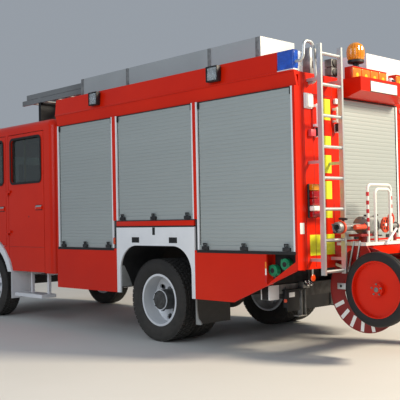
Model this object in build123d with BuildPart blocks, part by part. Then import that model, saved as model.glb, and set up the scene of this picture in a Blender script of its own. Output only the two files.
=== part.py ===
"""Municipal fire engine with a crew cab, seven roller shutters and a hose reel trolley at the rear.

Millimetres. +X runs forward, +Y to the vehicle's left, +Z up, and the tyres stand on Z = 0.
Lengths along the vehicle are given as stations, measured forward from the body's rear face.
The origin lies on the ground, in the middle of the overall length and width.
"""
from build123d import *
import os
from math import sqrt

os.makedirs("parts", exist_ok=True)

# Running gear
tyre_d = 945
tyre_w = 270
rim_seat_d = 572
rim_flange_d = 597
rim_w = 210
rim_sheet = 12
twin_pitch = 305
rear_axle_station = 2110
front_tyre_face_y = 1160
rear_tyre_face_y = 1212
kingpin_y = 846
kingpin_d = 50
kingpin_eye_r = 45
knuckle_ear_h = 40
knuckle_web = 35
front_hub_d = 170
rear_hub_d = 230
drum_d = 420
drum_w = 90
axle_tube_d = 130
differential_d = 380
stub_d = 80
running_gap = 0.3
hand_hole_d = 62
hand_hole_pcd = 440
hand_holes = 10

# Chassis frame
rail_outer_y = 430
rail_h = 220
rail_flange = 75
rail_sheet = 10
rail_bottom_z = 640
frame_rear_station = 620
frame_front_set = 2870
cross_member_w = 60
bearer_w = 70
bearer_end_gap = 145
tail_bearer_station = 260
frame_end_inset = 40
tail_rail_w = 80
tail_rail_h = 90
beam_w = 90
beam_h = 80
spring_y = 392
spring_w = 76
spring_leaf = 14
spring_leaves = 4
spring_l = 1300
spring_leaf_step = 170

# Engine, shaft and tanks
engine_set = 960
engine_l = 1500
engine_w = 640
engine_h = 480
engine_bottom_z = 570
shaft_d = 90
tank_d = 300
tank_l = 900
engine_arm = 70
cab_mount_w = 60
tank_set = 190

# Superstructure
body_l = 4080
body_half_y = 1245
crease_proud = 5
floor_z = 1060
high_floor_z = 1390
floor_sheet = 30
roof_top_z = 2790
shutter_drop = 140
crease_rise = 10
fascia_rise = 210
roof_sheet = 30
fascia_sheet = 25
canted_inset = 40
upper_lean = 20
gallery_lip = 60
rear_wall = 30
front_wall = 30
rear_pillar = 45
mid_pillar = 60
mid_bay_rear_station = 1430
front_bay_rear_station = 2860
locker_depth = 605
inner_wall = 20
skin = 20
panel_bottom_z = 530
departure_station = 860
rear_wall_bottom_z = 885
recess_station = 400
recess_depth = 130
recess_rail_h = 90

# Rear shutter opening
rear_door_half_y = 517
rear_door_bottom_z = 1150
rear_door_drop = 210

# Roller shutters and their guides
curtain = 14
curtain_inset = 26
guide_w = 24
guide_d = 40
end_bar_h = 46
end_bar_d = 30
latch_l = 90
latch_h = 30
latch_d = 20

# Wheel arch panel
arch_panel_top_z = 1310
arch_top_z = 1095
arch_half_w = 625
arch_corner_r = 300
liner_sheet = 6
panel_slot_w = 90
panel_slot_h = 65
panel_slot_z = 1215
panel_slot_x = 330

# Crew cab
cab_w = 2340
cab_gap = 190
front_axle_set = 1760
cab_l = 3030
cab_bottom_z = 690
cab_roof_z = 2800
cab_wall = 60
cab_edge_r = 95
cab_corner_r = 130
nose_top_z = 1480
nose_lean = 25
screen_top_z = 2560
screen_lean = 200
screen_side = 160
screen_bottom_z = 1560
screen_cut_top_z = 2500
cab_front_panel_l = 400
cab_floor_z = 1250
cab_floor = 60
roof_panel_z = 2665
door_gap = 9
crew_door_set = 230
door_split_set = 1210
front_door_set = 2510
door_top_z = 2645
sill_z = 1045
window_bottom_z = 1945
window_top_z = 2590
window_frame = 62
window_corner_r = 70
glass = 6
hinge_r = 12
hinge_lug_h = 36
hinge_stand = 18
hinge_leaf_l = 70
hinge_heights = (1240, 1820)
door_pillar = 60
hinge_leaf_short = 40
handle_z = 1590
handle_l = 150
handle_h = 50
handle_d = 16

# Seats and dashboard
seat_y = 620
seat_w = 500
seat_base_h = 240
seat_cushion_h = 130
seat_back_h = 680
seat_back_d = 130
front_seat_set = 1430
seat_l = 520
bench_set = 75
bench_side_gap = 70
dash_set = 2610
dash_depth = 290
dash_low_z = 1430
dash_side_gap = 20
wheel_rim_r = 230
wheel_rim_w = 26

# Mirrors
mirror_set = 2590
mirror_l = 90
mirror_gap = 85
mirror_w = 170
mirror_low_z = 1960
mirror_h = 440
mirror_arm = 28

# Front mudguards, flaps and cab steps
guard_inner_r = 600
guard_outer_r = 700
guard_sheet = 12
guard_bottom_z = 682
guard_inner_y = 860
guard_proud = 18
guard_gap = 10
flap_sheet = 10
flap_bottom_z = 300
step_z = 365
step_h = 48
step_w = 230
step_rear_set = 320
step_front_set = 1030

# Front end
bumper_proud = 60
bumper_bottom_z = 400
bumper_t = 120
headlamp_w = 300
headlamp_h = 150
headlamp_side = 95
headlamp_z = 1000
grille_side_gap = 25
grille_h = 360
grille_bottom_z = 930
grille_bars = 7

# Roof load
rack_rise = 220
ladder_box_h = 275
ladder_box_rear_station = 680
ladder_box_front_gap = 180
ladder_box_side = 295
ladder_box_w = 550
box_sheet = 12
rack_post_w = 80
ladder_front_set = 1210
ladder_rear_station = 1000
ladder_w = 440
ladder_beam_w = 28
ladder_rise = 100
ladder_beam_h = 70
rung_d = 28
rung_pitch = 300
cradle_set = 680

# Roof locker
locker_station = 250
locker_l = 1800
locker_side = 195
locker_w = 720
locker_h = 410
locker_lid_h = 70
locker_sheet = 10

# Light mast
mast_station = 240
mast_y = 325
mast_socket_r = 62
mast_socket_bore_r = 54
mast_tube_r = 53.5
mast_tube_wall = 5
mast_socket_bottom_z = 1120
mast_socket_rise = 30
mast_tube_rise = 60
mast_lamp_w = 130
mast_lamp_h = 105
mast_lamp_d = 90

# Rear ladder and grab rails
access_side = 364
access_w = 351
access_rail_w = 25
access_rail_d = 50
access_stand_off = 150
access_bottom_z = 830
access_rise = 260
access_first_rung_z = 862
access_pitch = 300
access_rung_d = 32
access_bracket_drop = 90
grab_d = 32
grab_stand_off = 90
grab_drop = 100
grab_rise = 280
grab_foot_rise = 90
grab_out_side = 30
grab_in_side = 225
grab_bend = 55

# Lamps and the plate housing
tail_lamp_w = 140
tail_lamp_h = 330
tail_lamp_d = 70
tail_lamp_side = 224
tail_lamp_bottom_z = 1380
marker_w = 119
marker_h = 150
marker_d = 40
marker_side = 193
marker_drop = 350
housing_half_y = 470
housing_reach = 220
housing_h = 190
amber_bar_w = 631
amber_bar_h = 160
amber_bar_d = 110
amber_inner_y = -30
amber_side = 400
blue_l = 210
blue_w = 78
flood_w = 170
flood_h = 165
flood_d = 60
flood_rise = 105
flood_stations = (1060, 3165)

beacon_station = 60
beacon_y = 130
beacon_r = 75
beacon_rise = 240
beacon_h = 170

# Under-run bar and coupling
underrun_station = 500
underrun_d = 110
underrun_h = 140
underrun_bottom_z = 560
underrun_end_gap = 145
coupling_z = 740

# Hose reel trolley
trolley_axle_station = -520
trolley_axle_z = 690
trolley_wheel_d = 714
trolley_tyre_w = 60
trolley_rim_d = 600
trolley_wheel_y = 700
trolley_axle_d = 40
drum_axle_station = -300
drum_axle_z = 665
flange_d = 840
flange_ring_w = 170
flange_sheet = 8
flange_y = 585
barrel_d = 320
barrel_wall = 6
drum_axle_d = 44
drum_spokes = 6
spoke_w = 50
reel_notch_half_y = 650
reel_notch_top_z = 975
reel_plate_y = 612
reel_plate = 20
platform_z = 1100
platform_h = 30
platform_rear_station = -350
reel_handle_r = 14
reel_handles = [
    # station, left leg, right leg, top
    (-300, 520, 110, 1700),
    (-334, 440, 180, 1655),
]
reel_valve_station = -220
reel_pipe_z = 1280
reel_valve_y = 540
reel_coupling_y = 945
reel_wheel_y = 290

# Derived values
cab_rear_station = body_l + cab_gap
rear_reach = trolley_axle_station - trolley_wheel_d / 2
front_reach = cab_rear_station + cab_l + bumper_proud
rear_x = -(front_reach + rear_reach) / 2
tyre_r = tyre_d / 2
axle_z = tyre_r
rear_axle_x = rear_x + rear_axle_station
cab_half_y = cab_w / 2
cab_rear_x = rear_x + cab_rear_station
cab_front_x = cab_rear_x + cab_l
front_axle_x = cab_rear_x + front_axle_set
engine_station = cab_rear_station + engine_set
frame_front_station = cab_rear_station + frame_front_set
crew_door_rear_station = cab_rear_station + crew_door_set
door_split_station = cab_rear_station + door_split_set
front_door_front_station = cab_rear_station + front_door_set
seat_rear_station = cab_rear_station + front_seat_set
bench_rear_station = cab_rear_station + bench_set
dash_rear_station = cab_rear_station + dash_set
mirror_station = cab_rear_station + mirror_set
step_rear_station = cab_rear_station + step_rear_set
step_front_station = cab_rear_station + step_front_set
ladder_front_station = cab_rear_station + ladder_front_set
cradle_station = cab_rear_station + cradle_set
screen_half_y = cab_half_y - screen_side
bench_half_y = cab_half_y - cab_wall - bench_side_gap
dash_half_y = cab_half_y - cab_wall - dash_side_gap
mirror_y = cab_half_y + mirror_gap
headlamp_y = cab_half_y - headlamp_side - headlamp_w
grille_w = 2 * (headlamp_y - grille_side_gap)
crease_y = body_half_y + crease_proud
bearer_half_l = body_half_y - bearer_end_gap
underrun_half_y = body_half_y - underrun_end_gap
ladder_box_outer_y = body_half_y - ladder_box_side
ladder_box_inner_y = ladder_box_outer_y - ladder_box_w
locker_right_y = -(body_half_y - locker_side)
locker_left_y = locker_right_y + locker_w
access_y = body_half_y - access_side
grab_out_y = body_half_y - grab_out_side
grab_in_y = body_half_y - grab_in_side
tail_lamp_y = body_half_y - tail_lamp_side
marker_y = body_half_y - marker_side
amber_bar_ys = (amber_inner_y, -(body_half_y - amber_side))
shutter_top_z = roof_top_z - shutter_drop
crease_z = roof_top_z + crease_rise
fascia_top_z = roof_top_z + fascia_rise
rear_door_top_z = roof_top_z - rear_door_drop
rack_z = roof_top_z + rack_rise
ladder_box_top_z = rack_z + ladder_box_h
ladder_low_z = rack_z + ladder_rise
locker_top_z = roof_top_z + locker_h
mast_socket_top_z = roof_top_z + mast_socket_rise
mast_tube_top_z = roof_top_z + mast_tube_rise
access_top_z = roof_top_z + access_rise
access_rungs = int((access_top_z - access_first_rung_z) / access_pitch) + 1
access_bracket_heights = (960, 1900, roof_top_z - access_bracket_drop)
grab_bottom_z = roof_top_z - grab_drop
grab_top_z = roof_top_z + grab_rise
grab_foot_z = roof_top_z + grab_foot_rise
marker_bottom_z = roof_top_z - marker_drop
housing_top_z = roof_top_z
housing_bottom_z = roof_top_z - housing_h
flood_z = crease_z + flood_rise
beacon_bottom_z = roof_top_z + beacon_rise
rail_top_z = rail_bottom_z + rail_h
floor_bottom_z = floor_z - floor_sheet
roof_bottom_z = roof_top_z - roof_sheet
front_tyre_y = front_tyre_face_y - tyre_w / 2
rear_tyre_y = rear_tyre_face_y - tyre_w / 2
twin_centre_y = rear_tyre_y - twin_pitch / 2
slope = (rear_wall_bottom_z - panel_bottom_z) / departure_station
tank_station = front_bay_rear_station + tank_set
ladder_box_front_station = body_l - ladder_box_front_gap
rack_posts = (
    ladder_box_rear_station + 20,
    mid_bay_rear_station - 10,
    front_bay_rear_station + 20,
    ladder_box_front_station - 40,
)
cross_member_stations = (
    frame_rear_station + frame_end_inset,
    mid_bay_rear_station + 70,
    front_bay_rear_station - 140,
    body_l - 380,
    engine_station - 330,
    frame_front_station - frame_end_inset,
)
bearer_stations = (
    tail_bearer_station,
    mid_bay_rear_station - 100,
    front_bay_rear_station + 30,
    body_l - 120,
)
bays = [
    # rear station, front station, floor height
    (rear_wall, mid_bay_rear_station - rear_pillar, floor_z),
    (mid_bay_rear_station, front_bay_rear_station - mid_pillar, high_floor_z),
    (front_bay_rear_station, body_l - front_wall, floor_z),
]
sides = [("left", 1), ("right", -1)]


def at(station):
    """X of a station."""
    return rear_x + station


def slope_z(station):
    """Height of the departure slope under the body's tail at a station."""
    return rear_wall_bottom_z - slope * station


def block(x, y, z, mode=Mode.ADD):
    """A block between the low and high values of each axis."""
    with Locations(((x[0] + x[1]) / 2, (y[0] + y[1]) / 2, (z[0] + z[1]) / 2)):
        Box(abs(x[1] - x[0]), abs(y[1] - y[0]), abs(z[1] - z[0]), mode=mode)


def across(x, y, z, r, mode=Mode.ADD):
    """A round bar across the vehicle, between two Y values."""
    with Locations(Location((x, (y[0] + y[1]) / 2, z), (90, 0, 0))):
        Cylinder(r, abs(y[1] - y[0]), mode=mode)


def upright(x, y, z, r, mode=Mode.ADD):
    """A round bar that stands between two heights."""
    with Locations((x, y, (z[0] + z[1]) / 2)):
        Cylinder(r, abs(z[1] - z[0]), mode=mode)


def along(x, y, z, r, mode=Mode.ADD):
    """A round bar along the vehicle, between two X values."""
    with Locations(Location(((x[0] + x[1]) / 2, y, z), (0, 90, 0))):
        Cylinder(r, abs(x[1] - x[0]), mode=mode)


def side_plate(points, outer_y, thickness, side=1, mode=Mode.ADD):
    """A plate with an outline in X and Z, whose outer face lies at outer_y on the given side."""
    with BuildSketch(Plane.XZ.offset(-side * outer_y)) as outline:
        with BuildLine():
            Polyline(*points, close=True)
        make_face()
    extrude(outline.sketch, amount=side * thickness, mode=mode)


def turned(x, y, side, points, z, mode=Mode.ADD):
    """A ring turned about a line across the vehicle; points are (outboard from y, radius)."""
    plane = Plane(origin=(x, side * y, z), x_dir=(0, side, 0), z_dir=(side, 0, 0))
    with BuildSketch(plane) as section:
        with BuildLine():
            Polyline(*points, close=True)
        make_face()
    revolve(section.sketch, axis=Axis((x, 0, z), (0, 1, 0)), mode=mode)


def bent_tube(points, r, bend, mode=Mode.ADD):
    """A round tube along straight runs with rounded corners."""
    with BuildLine() as path:
        FilletPolyline(*points, radius=bend)
    wire = path.wires()[0]
    with BuildSketch(Plane(origin=wire @ 0, z_dir=wire % 0)) as section:
        Circle(r)
    sweep(section.sketch, path=wire, mode=mode)


def shaped(points, half_width, mode=Mode.ADD):
    """A solid with an outline in X and Z, as wide to the left as to the right of the middle."""
    with BuildSketch(Plane.XZ) as outline:
        with BuildLine():
            Polyline(*points, close=True)
        make_face()
    extrude(outline.sketch, amount=half_width, both=True, mode=mode)


def fascia_y(z):
    """Outer face of the upper fascia at a height."""
    return crease_y - upper_lean * (z - crease_z) / (fascia_top_z - crease_z)


def write(piece, name):
    """Label a finished sub-part and write its file."""
    piece.part.label = name
    export_step(piece.part, f"parts/{name}.step")


# Chassis frame: two channel rails, cross members, body bearers and the tanks that hang on the rails
with BuildPart() as chassis_frame:
    with BuildSketch(Plane.YZ.offset(at(frame_rear_station))):
        with BuildLine():
            Polyline(
                (rail_outer_y, rail_bottom_z),
                (rail_outer_y, rail_top_z),
                (rail_outer_y - rail_flange, rail_top_z),
                (rail_outer_y - rail_flange, rail_top_z - rail_sheet),
                (rail_outer_y - rail_sheet, rail_top_z - rail_sheet),
                (rail_outer_y - rail_sheet, rail_bottom_z + rail_sheet),
                (rail_outer_y - rail_flange, rail_bottom_z + rail_sheet),
                (rail_outer_y - rail_flange, rail_bottom_z),
                close=True,
            )
        make_face()
        mirror(about=Plane.YZ)
    extrude(amount=frame_front_station - frame_rear_station)
    web_y = rail_outer_y - rail_sheet
    for station in cross_member_stations:
        block(
            (at(station) - cross_member_w / 2, at(station) + cross_member_w / 2),
            (-web_y, web_y),
            (rail_bottom_z + 30, rail_top_z - 30),
        )
    for station in bearer_stations:
        on_rails = station > frame_rear_station
        block(
            (at(station) - bearer_w / 2, at(station) + bearer_w / 2),
            (-bearer_half_l, bearer_half_l),
            (rail_top_z if on_rails else floor_bottom_z - tail_rail_h, floor_bottom_z),
        )
    for side_name, side in sides:
        block(
            (at(bearer_stations[0] - bearer_w / 2), at(bearer_stations[1] + bearer_w / 2)),
            (side * (rail_outer_y - tail_rail_w), side * rail_outer_y),
            (floor_bottom_z - tail_rail_h, floor_bottom_z),
        )
        along(
            (at(tank_station), at(tank_station) + tank_l),
            -side * (rail_outer_y + tank_d / 2 - 5),
            rail_bottom_z + 60,
            tank_d / 2,
        )
        for station in (cab_rear_station + 100, cab_rear_station + cab_l - 260):
            block(
                (at(station), at(station) + cab_mount_w),
                (side * (rail_outer_y - rail_flange), side * rail_outer_y),
                (rail_top_z, cab_floor_z - cab_floor),
            )
write(chassis_frame, "chassis_frame")


def leaf_spring(x, y, z, top_z):
    """A pack of leaves on an axle, each shorter than the one above, with hangers to the rail."""
    for leaf in range(spring_leaves):
        half = spring_l / 2 - spring_leaf_step * (spring_leaves - 1 - leaf)
        low = z + leaf * spring_leaf
        block((x - half, x + half), (y - spring_w / 2, y + spring_w / 2), (low, low + spring_leaf))
    for end in (-1, 1):
        end_x = x + end * (spring_l / 2 - 30)
        block(
            (end_x - 30, end_x + 30),
            (y - spring_w / 2 + 12, y + spring_w / 2 - 12),
            (z + spring_leaf * (spring_leaves - 1), top_z),
        )


# Front axle: forged beam with kingpin eyes, on two leaf springs
with BuildPart() as axles:
    beam_z = (axle_z - beam_h / 2, axle_z + beam_h / 2)
    block(
        (front_axle_x - beam_w / 2, front_axle_x + beam_w / 2),
        (-kingpin_y, kingpin_y),
        beam_z,
    )
    for side_name, side in sides:
        upright(front_axle_x, side * kingpin_y, beam_z, kingpin_eye_r)
        leaf_spring(front_axle_x, side * spring_y, beam_z[1], rail_bottom_z)
    for side_name, side in sides:
        bore_r = kingpin_d / 2 + running_gap
        upright(front_axle_x, side * kingpin_y, beam_z, bore_r, mode=Mode.SUBTRACT)

    # Rear axle: tube with a round differential housing, on two leaf springs
    rear_axle_half = twin_centre_y - 60
    across(rear_axle_x, (-rear_axle_half, rear_axle_half), axle_z, axle_tube_d / 2)
    for side_name, side in sides:
        stub_y = (side * rear_axle_half, side * (twin_centre_y + 30))
        across(rear_axle_x, stub_y, axle_z, stub_d / 2)
        leaf_spring(rear_axle_x, side * spring_y, axle_z + axle_tube_d / 2 - 8, rail_bottom_z)
    with Locations((rear_axle_x, 0, axle_z)):
        Sphere(differential_d / 2)
    along((rear_axle_x, rear_axle_x + differential_d / 2 + 60), 0, axle_z, 70)
write(axles, "axles")

# Engine and gearbox as one plain block, with the drive shaft to the rear axle
with BuildPart() as engine_and_shaft:
    block(
        (at(engine_station), at(engine_station) + engine_l),
        (-engine_w / 2, engine_w / 2),
        (engine_bottom_z, engine_bottom_z + engine_h),
    )
    shaft_start = rear_axle_x + differential_d / 2 + 60
    with BuildSketch(Plane.YZ.offset(shaft_start)):
        with Locations((0, axle_z)):
            Circle(shaft_d / 2)
    with BuildSketch(Plane.YZ.offset(at(engine_station) + 20)):
        with Locations((0, engine_bottom_z + shaft_d * 2 / 3)):
            Circle(shaft_d / 2)
    loft()
    for side_name, side in sides:
        for station in (engine_station + 150, engine_station + engine_l - 220):
            block(
                (at(station), at(station) + engine_arm),
                (side * engine_w / 2, side * (rail_outer_y - rail_sheet)),
                (rail_bottom_z + rail_sheet, rail_bottom_z + rail_sheet + engine_arm),
            )
write(engine_and_shaft, "engine_and_shaft")


# Outline of a road tyre and of its rim's barrel: outboard from the tyre's middle, radius
tyre_half = tyre_w / 2
bead = rim_w / 2 - 10
tyre_points = [
    (-bead, rim_seat_d / 2),
    (-bead, rim_flange_d / 2),
    (-rim_w / 2, rim_flange_d / 2),
    (-tyre_half, tyre_r * 0.79),
    (-tyre_half * 0.9, tyre_r * 0.955),
    (-tyre_half * 0.74, tyre_r),
    (tyre_half * 0.74, tyre_r),
    (tyre_half * 0.9, tyre_r * 0.955),
    (tyre_half, tyre_r * 0.79),
    (rim_w / 2, rim_flange_d / 2),
    (bead, rim_flange_d / 2),
    (bead, rim_seat_d / 2),
]
rim_bottom_r = rim_seat_d / 2 - rim_sheet
barrel_points = [
    (-rim_w / 2, rim_flange_d / 2),
    (-rim_w / 2, rim_bottom_r),
    (rim_w / 2, rim_bottom_r),
    (rim_w / 2, rim_flange_d / 2),
    (bead, rim_flange_d / 2),
    (bead, rim_seat_d / 2),
    (-bead, rim_seat_d / 2),
    (-bead, rim_flange_d / 2),
]
front_disc_points = [
    (20, rim_bottom_r + 2),
    (38, rim_bottom_r + 2),
    (92, 190),
    (92, 0),
    (48, 0),
    (48, 60),
    (76, 90),
    (76, 180),
]
front_cap_points = [(92, 0), (92, front_hub_d / 2), (128, front_hub_d / 2 - 10), (128, 0)]
twin_disc_points = [
    # outboard from the plane between the twins, radius
    (0, rear_hub_d / 2 - 5),
    (0, 180),
    (50, rim_bottom_r + 2),
    (72, rim_bottom_r + 2),
    (14, 168),
    (14, rear_hub_d / 2 - 5),
]


# Knuckles: a fork round the beam's eye, the kingpin and the stub for the front wheel
for side_name, side in sides:
    with BuildPart() as knuckle:
        web_inner = kingpin_y + kingpin_eye_r + 5
        web_outer = web_inner + knuckle_web
        ear_low = beam_z[0] - running_gap
        ear_high = beam_z[1] + running_gap
        for low, high in ((ear_low - knuckle_ear_h, ear_low), (ear_high, ear_high + knuckle_ear_h)):
            upright(front_axle_x, side * kingpin_y, (low, high), kingpin_eye_r)
            block(
                (front_axle_x - kingpin_eye_r, front_axle_x + kingpin_eye_r),
                (side * kingpin_y, side * web_outer),
                (low, high),
            )
        block(
            (front_axle_x - kingpin_eye_r, front_axle_x + kingpin_eye_r),
            (side * web_inner, side * web_outer),
            (ear_low - knuckle_ear_h, ear_high + knuckle_ear_h),
        )
        upright(front_axle_x, side * kingpin_y, (ear_low, ear_high), kingpin_d / 2)
        across(front_axle_x, (side * web_outer, side * (front_tyre_y + 40)), axle_z, stub_d / 2)
    write(knuckle, f"knuckle_{side_name}")

# Front wheels: bulging disc with hand holes, hub and brake drum on the stub
for side_name, side in sides:
    with BuildPart() as front_rim:
        turned(front_axle_x, front_tyre_y, side, barrel_points, axle_z)
        turned(front_axle_x, front_tyre_y, side, front_disc_points, axle_z)
        turned(front_axle_x, front_tyre_y, side, front_cap_points, axle_z)
        drum_y = front_tyre_y - rim_w / 2 + 25
        across(front_axle_x, (side * drum_y, side * (drum_y + drum_w)), axle_z, drum_d / 2)
        across(front_axle_x, (side * drum_y, side * (front_tyre_y + 92)), axle_z, front_hub_d / 2)
        across(
            front_axle_x,
            (side * drum_y, side * (front_tyre_y + 40 + running_gap)),
            axle_z,
            stub_d / 2 + running_gap,
            mode=Mode.SUBTRACT,
        )
        with Locations(Location((front_axle_x, side * (front_tyre_y + 80), axle_z), (90, 0, 0))):
            with PolarLocations(hand_hole_pcd / 2, hand_holes):
                Cylinder(hand_hole_d / 2, 80, mode=Mode.SUBTRACT)
    write(front_rim, f"front_rim_{side_name}")

    with BuildPart() as front_tyre:
        turned(front_axle_x, front_tyre_y, side, tyre_points, axle_z)
    write(front_tyre, f"front_tyre_{side_name}")

# Rear twin wheels: two rims bolted back to back at the hub, each disc dished towards the other
for side_name, side in sides:
    with BuildPart() as rear_rims:
        turned(rear_axle_x, rear_tyre_y, side, barrel_points, axle_z)
        turned(rear_axle_x, rear_tyre_y - twin_pitch, side, barrel_points, axle_z)
        for outward in (1, -1):
            disc_points = [(outward * out, r) for out, r in twin_disc_points]
            turned(rear_axle_x, twin_centre_y, side, disc_points, axle_z)
        hub_y = (side * (rear_axle_half + 5), side * (rear_tyre_face_y - 45))
        across(rear_axle_x, hub_y, axle_z, rear_hub_d / 2)
        across(
            rear_axle_x,
            (side * rear_axle_half, side * (twin_centre_y + 30 + running_gap)),
            axle_z,
            stub_d / 2 + running_gap,
            mode=Mode.SUBTRACT,
        )
        with Locations(Location((rear_axle_x, side * twin_centre_y, axle_z), (90, 0, 0))):
            with PolarLocations(hand_hole_pcd / 2, hand_holes):
                Cylinder(hand_hole_d / 2, 140, mode=Mode.SUBTRACT)
    write(rear_rims, f"rear_rims_{side_name}")

    with BuildPart() as rear_tyres:
        turned(rear_axle_x, rear_tyre_y, side, tyre_points, axle_z)
        turned(rear_axle_x, rear_tyre_y - twin_pitch, side, tyre_points, axle_z)
    write(rear_tyres, f"rear_tyres_{side_name}")

# Body floor: low under the end bays and high over the wheels, in one folded sheet
with BuildPart() as body_floor:
    rear_riser = mid_bay_rear_station - rear_pillar
    front_riser = front_bay_rear_station - mid_pillar
    floor_points = [
        # station, height
        (rear_wall, floor_z),
        (rear_riser, floor_z),
        (rear_riser, high_floor_z),
        (front_bay_rear_station, high_floor_z),
        (front_bay_rear_station, floor_z),
        (body_l - front_wall, floor_z),
        (body_l - front_wall, floor_bottom_z),
        (front_riser, floor_bottom_z),
        (front_riser, high_floor_z - floor_sheet),
        (mid_bay_rear_station, high_floor_z - floor_sheet),
        (mid_bay_rear_station, floor_bottom_z),
        (rear_wall, floor_bottom_z),
    ]
    with BuildSketch(Plane.XZ):
        with BuildLine():
            Polyline(*[(at(station), z) for station, z in floor_points], close=True)
        make_face()
    extrude(amount=body_half_y - skin, both=True)
write(body_floor, "body_floor")

# Partitions: front wall, two inner walls along the lockers and the pillars between the shutters
with BuildPart() as body_partitions:
    wall_y = body_half_y - locker_depth
    pillars = [(rear_riser, mid_bay_rear_station), (front_riser, front_bay_rear_station)]
    neck_y = body_half_y - canted_inset - fascia_sheet
    block(
        (at(body_l - front_wall), at(body_l)),
        (-neck_y, neck_y),
        (floor_bottom_z, roof_bottom_z),
    )
    for side_name, side in sides:
        for rear_s, front_s, bay_floor in bays:
            block(
                (at(rear_s), at(front_s)),
                (side * wall_y, side * (wall_y - inner_wall)),
                (bay_floor, roof_bottom_z),
            )
        for rear_s, front_s in pillars:
            block(
                (at(rear_s), at(front_s)),
                (side * (wall_y - inner_wall), side * neck_y),
                (high_floor_z, roof_bottom_z),
            )
            block(
                (at(rear_s), at(front_s)),
                (side * neck_y, side * body_half_y),
                (high_floor_z, shutter_top_z),
            )
        block(
            (at(body_l - front_wall), at(body_l)),
            (side * neck_y, side * body_half_y),
            (floor_z, shutter_top_z),
        )
write(body_partitions, "body_partitions")

# Roof plate with the two fascias: canted below the crease and leaning in above it
with BuildPart() as body_roof:
    with BuildSketch(Plane.YZ.offset(at(0))):
        with BuildLine():
            Polyline(
                (0, roof_top_z),
                (crease_y - upper_lean - fascia_sheet, roof_top_z),
                (crease_y - upper_lean - fascia_sheet, fascia_top_z - fascia_sheet),
                (crease_y - upper_lean - gallery_lip, fascia_top_z - fascia_sheet),
                (crease_y - upper_lean - gallery_lip, fascia_top_z),
                (crease_y - upper_lean, fascia_top_z),
                (crease_y, crease_z),
                (crease_y - canted_inset, shutter_top_z),
                (crease_y - canted_inset - fascia_sheet, shutter_top_z),
                (crease_y - fascia_sheet - 12, roof_bottom_z),
                (0, roof_bottom_z),
                close=True,
            )
        make_face()
        mirror(about=Plane.YZ)
    extrude(amount=body_l)
    block(
        (at(-1), at(blue_l)),
        (crease_y + 1, crease_y - blue_w - 2),
        (crease_z, fascia_top_z + 1),
        mode=Mode.SUBTRACT,
    )
    block(
        (at(-1), at(blue_l)),
        (-crease_y - 1, -crease_y + blue_w + 2),
        (crease_z, fascia_top_z + 1),
        mode=Mode.SUBTRACT,
    )
    upright(
        at(mast_station), mast_y, (mast_socket_bottom_z, mast_socket_top_z), mast_socket_r
    )
    upright(
        at(mast_station),
        mast_y,
        (mast_socket_bottom_z + 10, mast_socket_top_z + 1),
        mast_socket_bore_r,
        mode=Mode.SUBTRACT,
    )
write(body_roof, "body_roof")

# Rear wall with the opening for the rear shutter
with BuildPart() as body_rear_wall:
    block((at(0), at(rear_wall)), (-body_half_y, body_half_y), (rear_wall_bottom_z, shutter_top_z))
    block((at(0), at(rear_wall)), (-neck_y, neck_y), (shutter_top_z, roof_bottom_z))
    block(
        (at(-1), at(rear_wall + 1)),
        (-rear_door_half_y, rear_door_half_y),
        (rear_door_bottom_z, rear_door_top_z),
        mode=Mode.SUBTRACT,
    )
    block(
        (at(-1), at(rear_wall + 1)),
        (-reel_notch_half_y, reel_notch_half_y),
        (rear_wall_bottom_z - 1, reel_notch_top_z),
        mode=Mode.SUBTRACT,
    )
write(body_rear_wall, "body_rear_wall")

# Roller shutters: closed curtains with an end bar and three latches each
with BuildPart() as roller_shutters:
    for side_name, side in sides:
        for rear_s, front_s, bay_floor in bays:
            face_y = body_half_y - curtain_inset
            x = (at(rear_s) + guide_w, at(front_s) - guide_w)
            block(x, (side * face_y, side * (face_y - curtain)), (bay_floor, shutter_top_z))
            bar_y = (side * (face_y + 8), side * (face_y + 8 - end_bar_d))
            block(x, bar_y, (bay_floor, bay_floor + end_bar_h))
            for latch_x in (x[0] + latch_l, (x[0] + x[1]) / 2, x[1] - latch_l):
                block(
                    (latch_x - latch_l / 2, latch_x + latch_l / 2),
                    (side * (face_y + 8), side * (face_y + 8 + latch_d)),
                    (bay_floor + 6, bay_floor + 6 + latch_h),
                )
    y = rear_door_half_y - guide_w
    block((at(8), at(8 + curtain)), (-y, y), (rear_door_bottom_z, rear_door_top_z))
    block((at(0), at(end_bar_d)), (-y, y), (rear_door_bottom_z, rear_door_bottom_z + end_bar_h))
write(roller_shutters, "roller_shutters")

# Guides at both edges of every shutter
with BuildPart() as shutter_guides:
    for side_name, side in sides:
        for rear_s, front_s, bay_floor in bays:
            for edge, inward in ((at(rear_s), 1), (at(front_s), -1)):
                block(
                    (edge, edge + inward * guide_w),
                    (side * (body_half_y - 4), side * (body_half_y - 4 - guide_d)),
                    (bay_floor, shutter_top_z),
                )
    for side_name, side in sides:
        block(
            (at(-2), at(rear_wall)),
            (side * rear_door_half_y, side * (rear_door_half_y - guide_w)),
            (rear_door_bottom_z, rear_door_top_z),
        )
write(shutter_guides, "shutter_guides")

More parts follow.
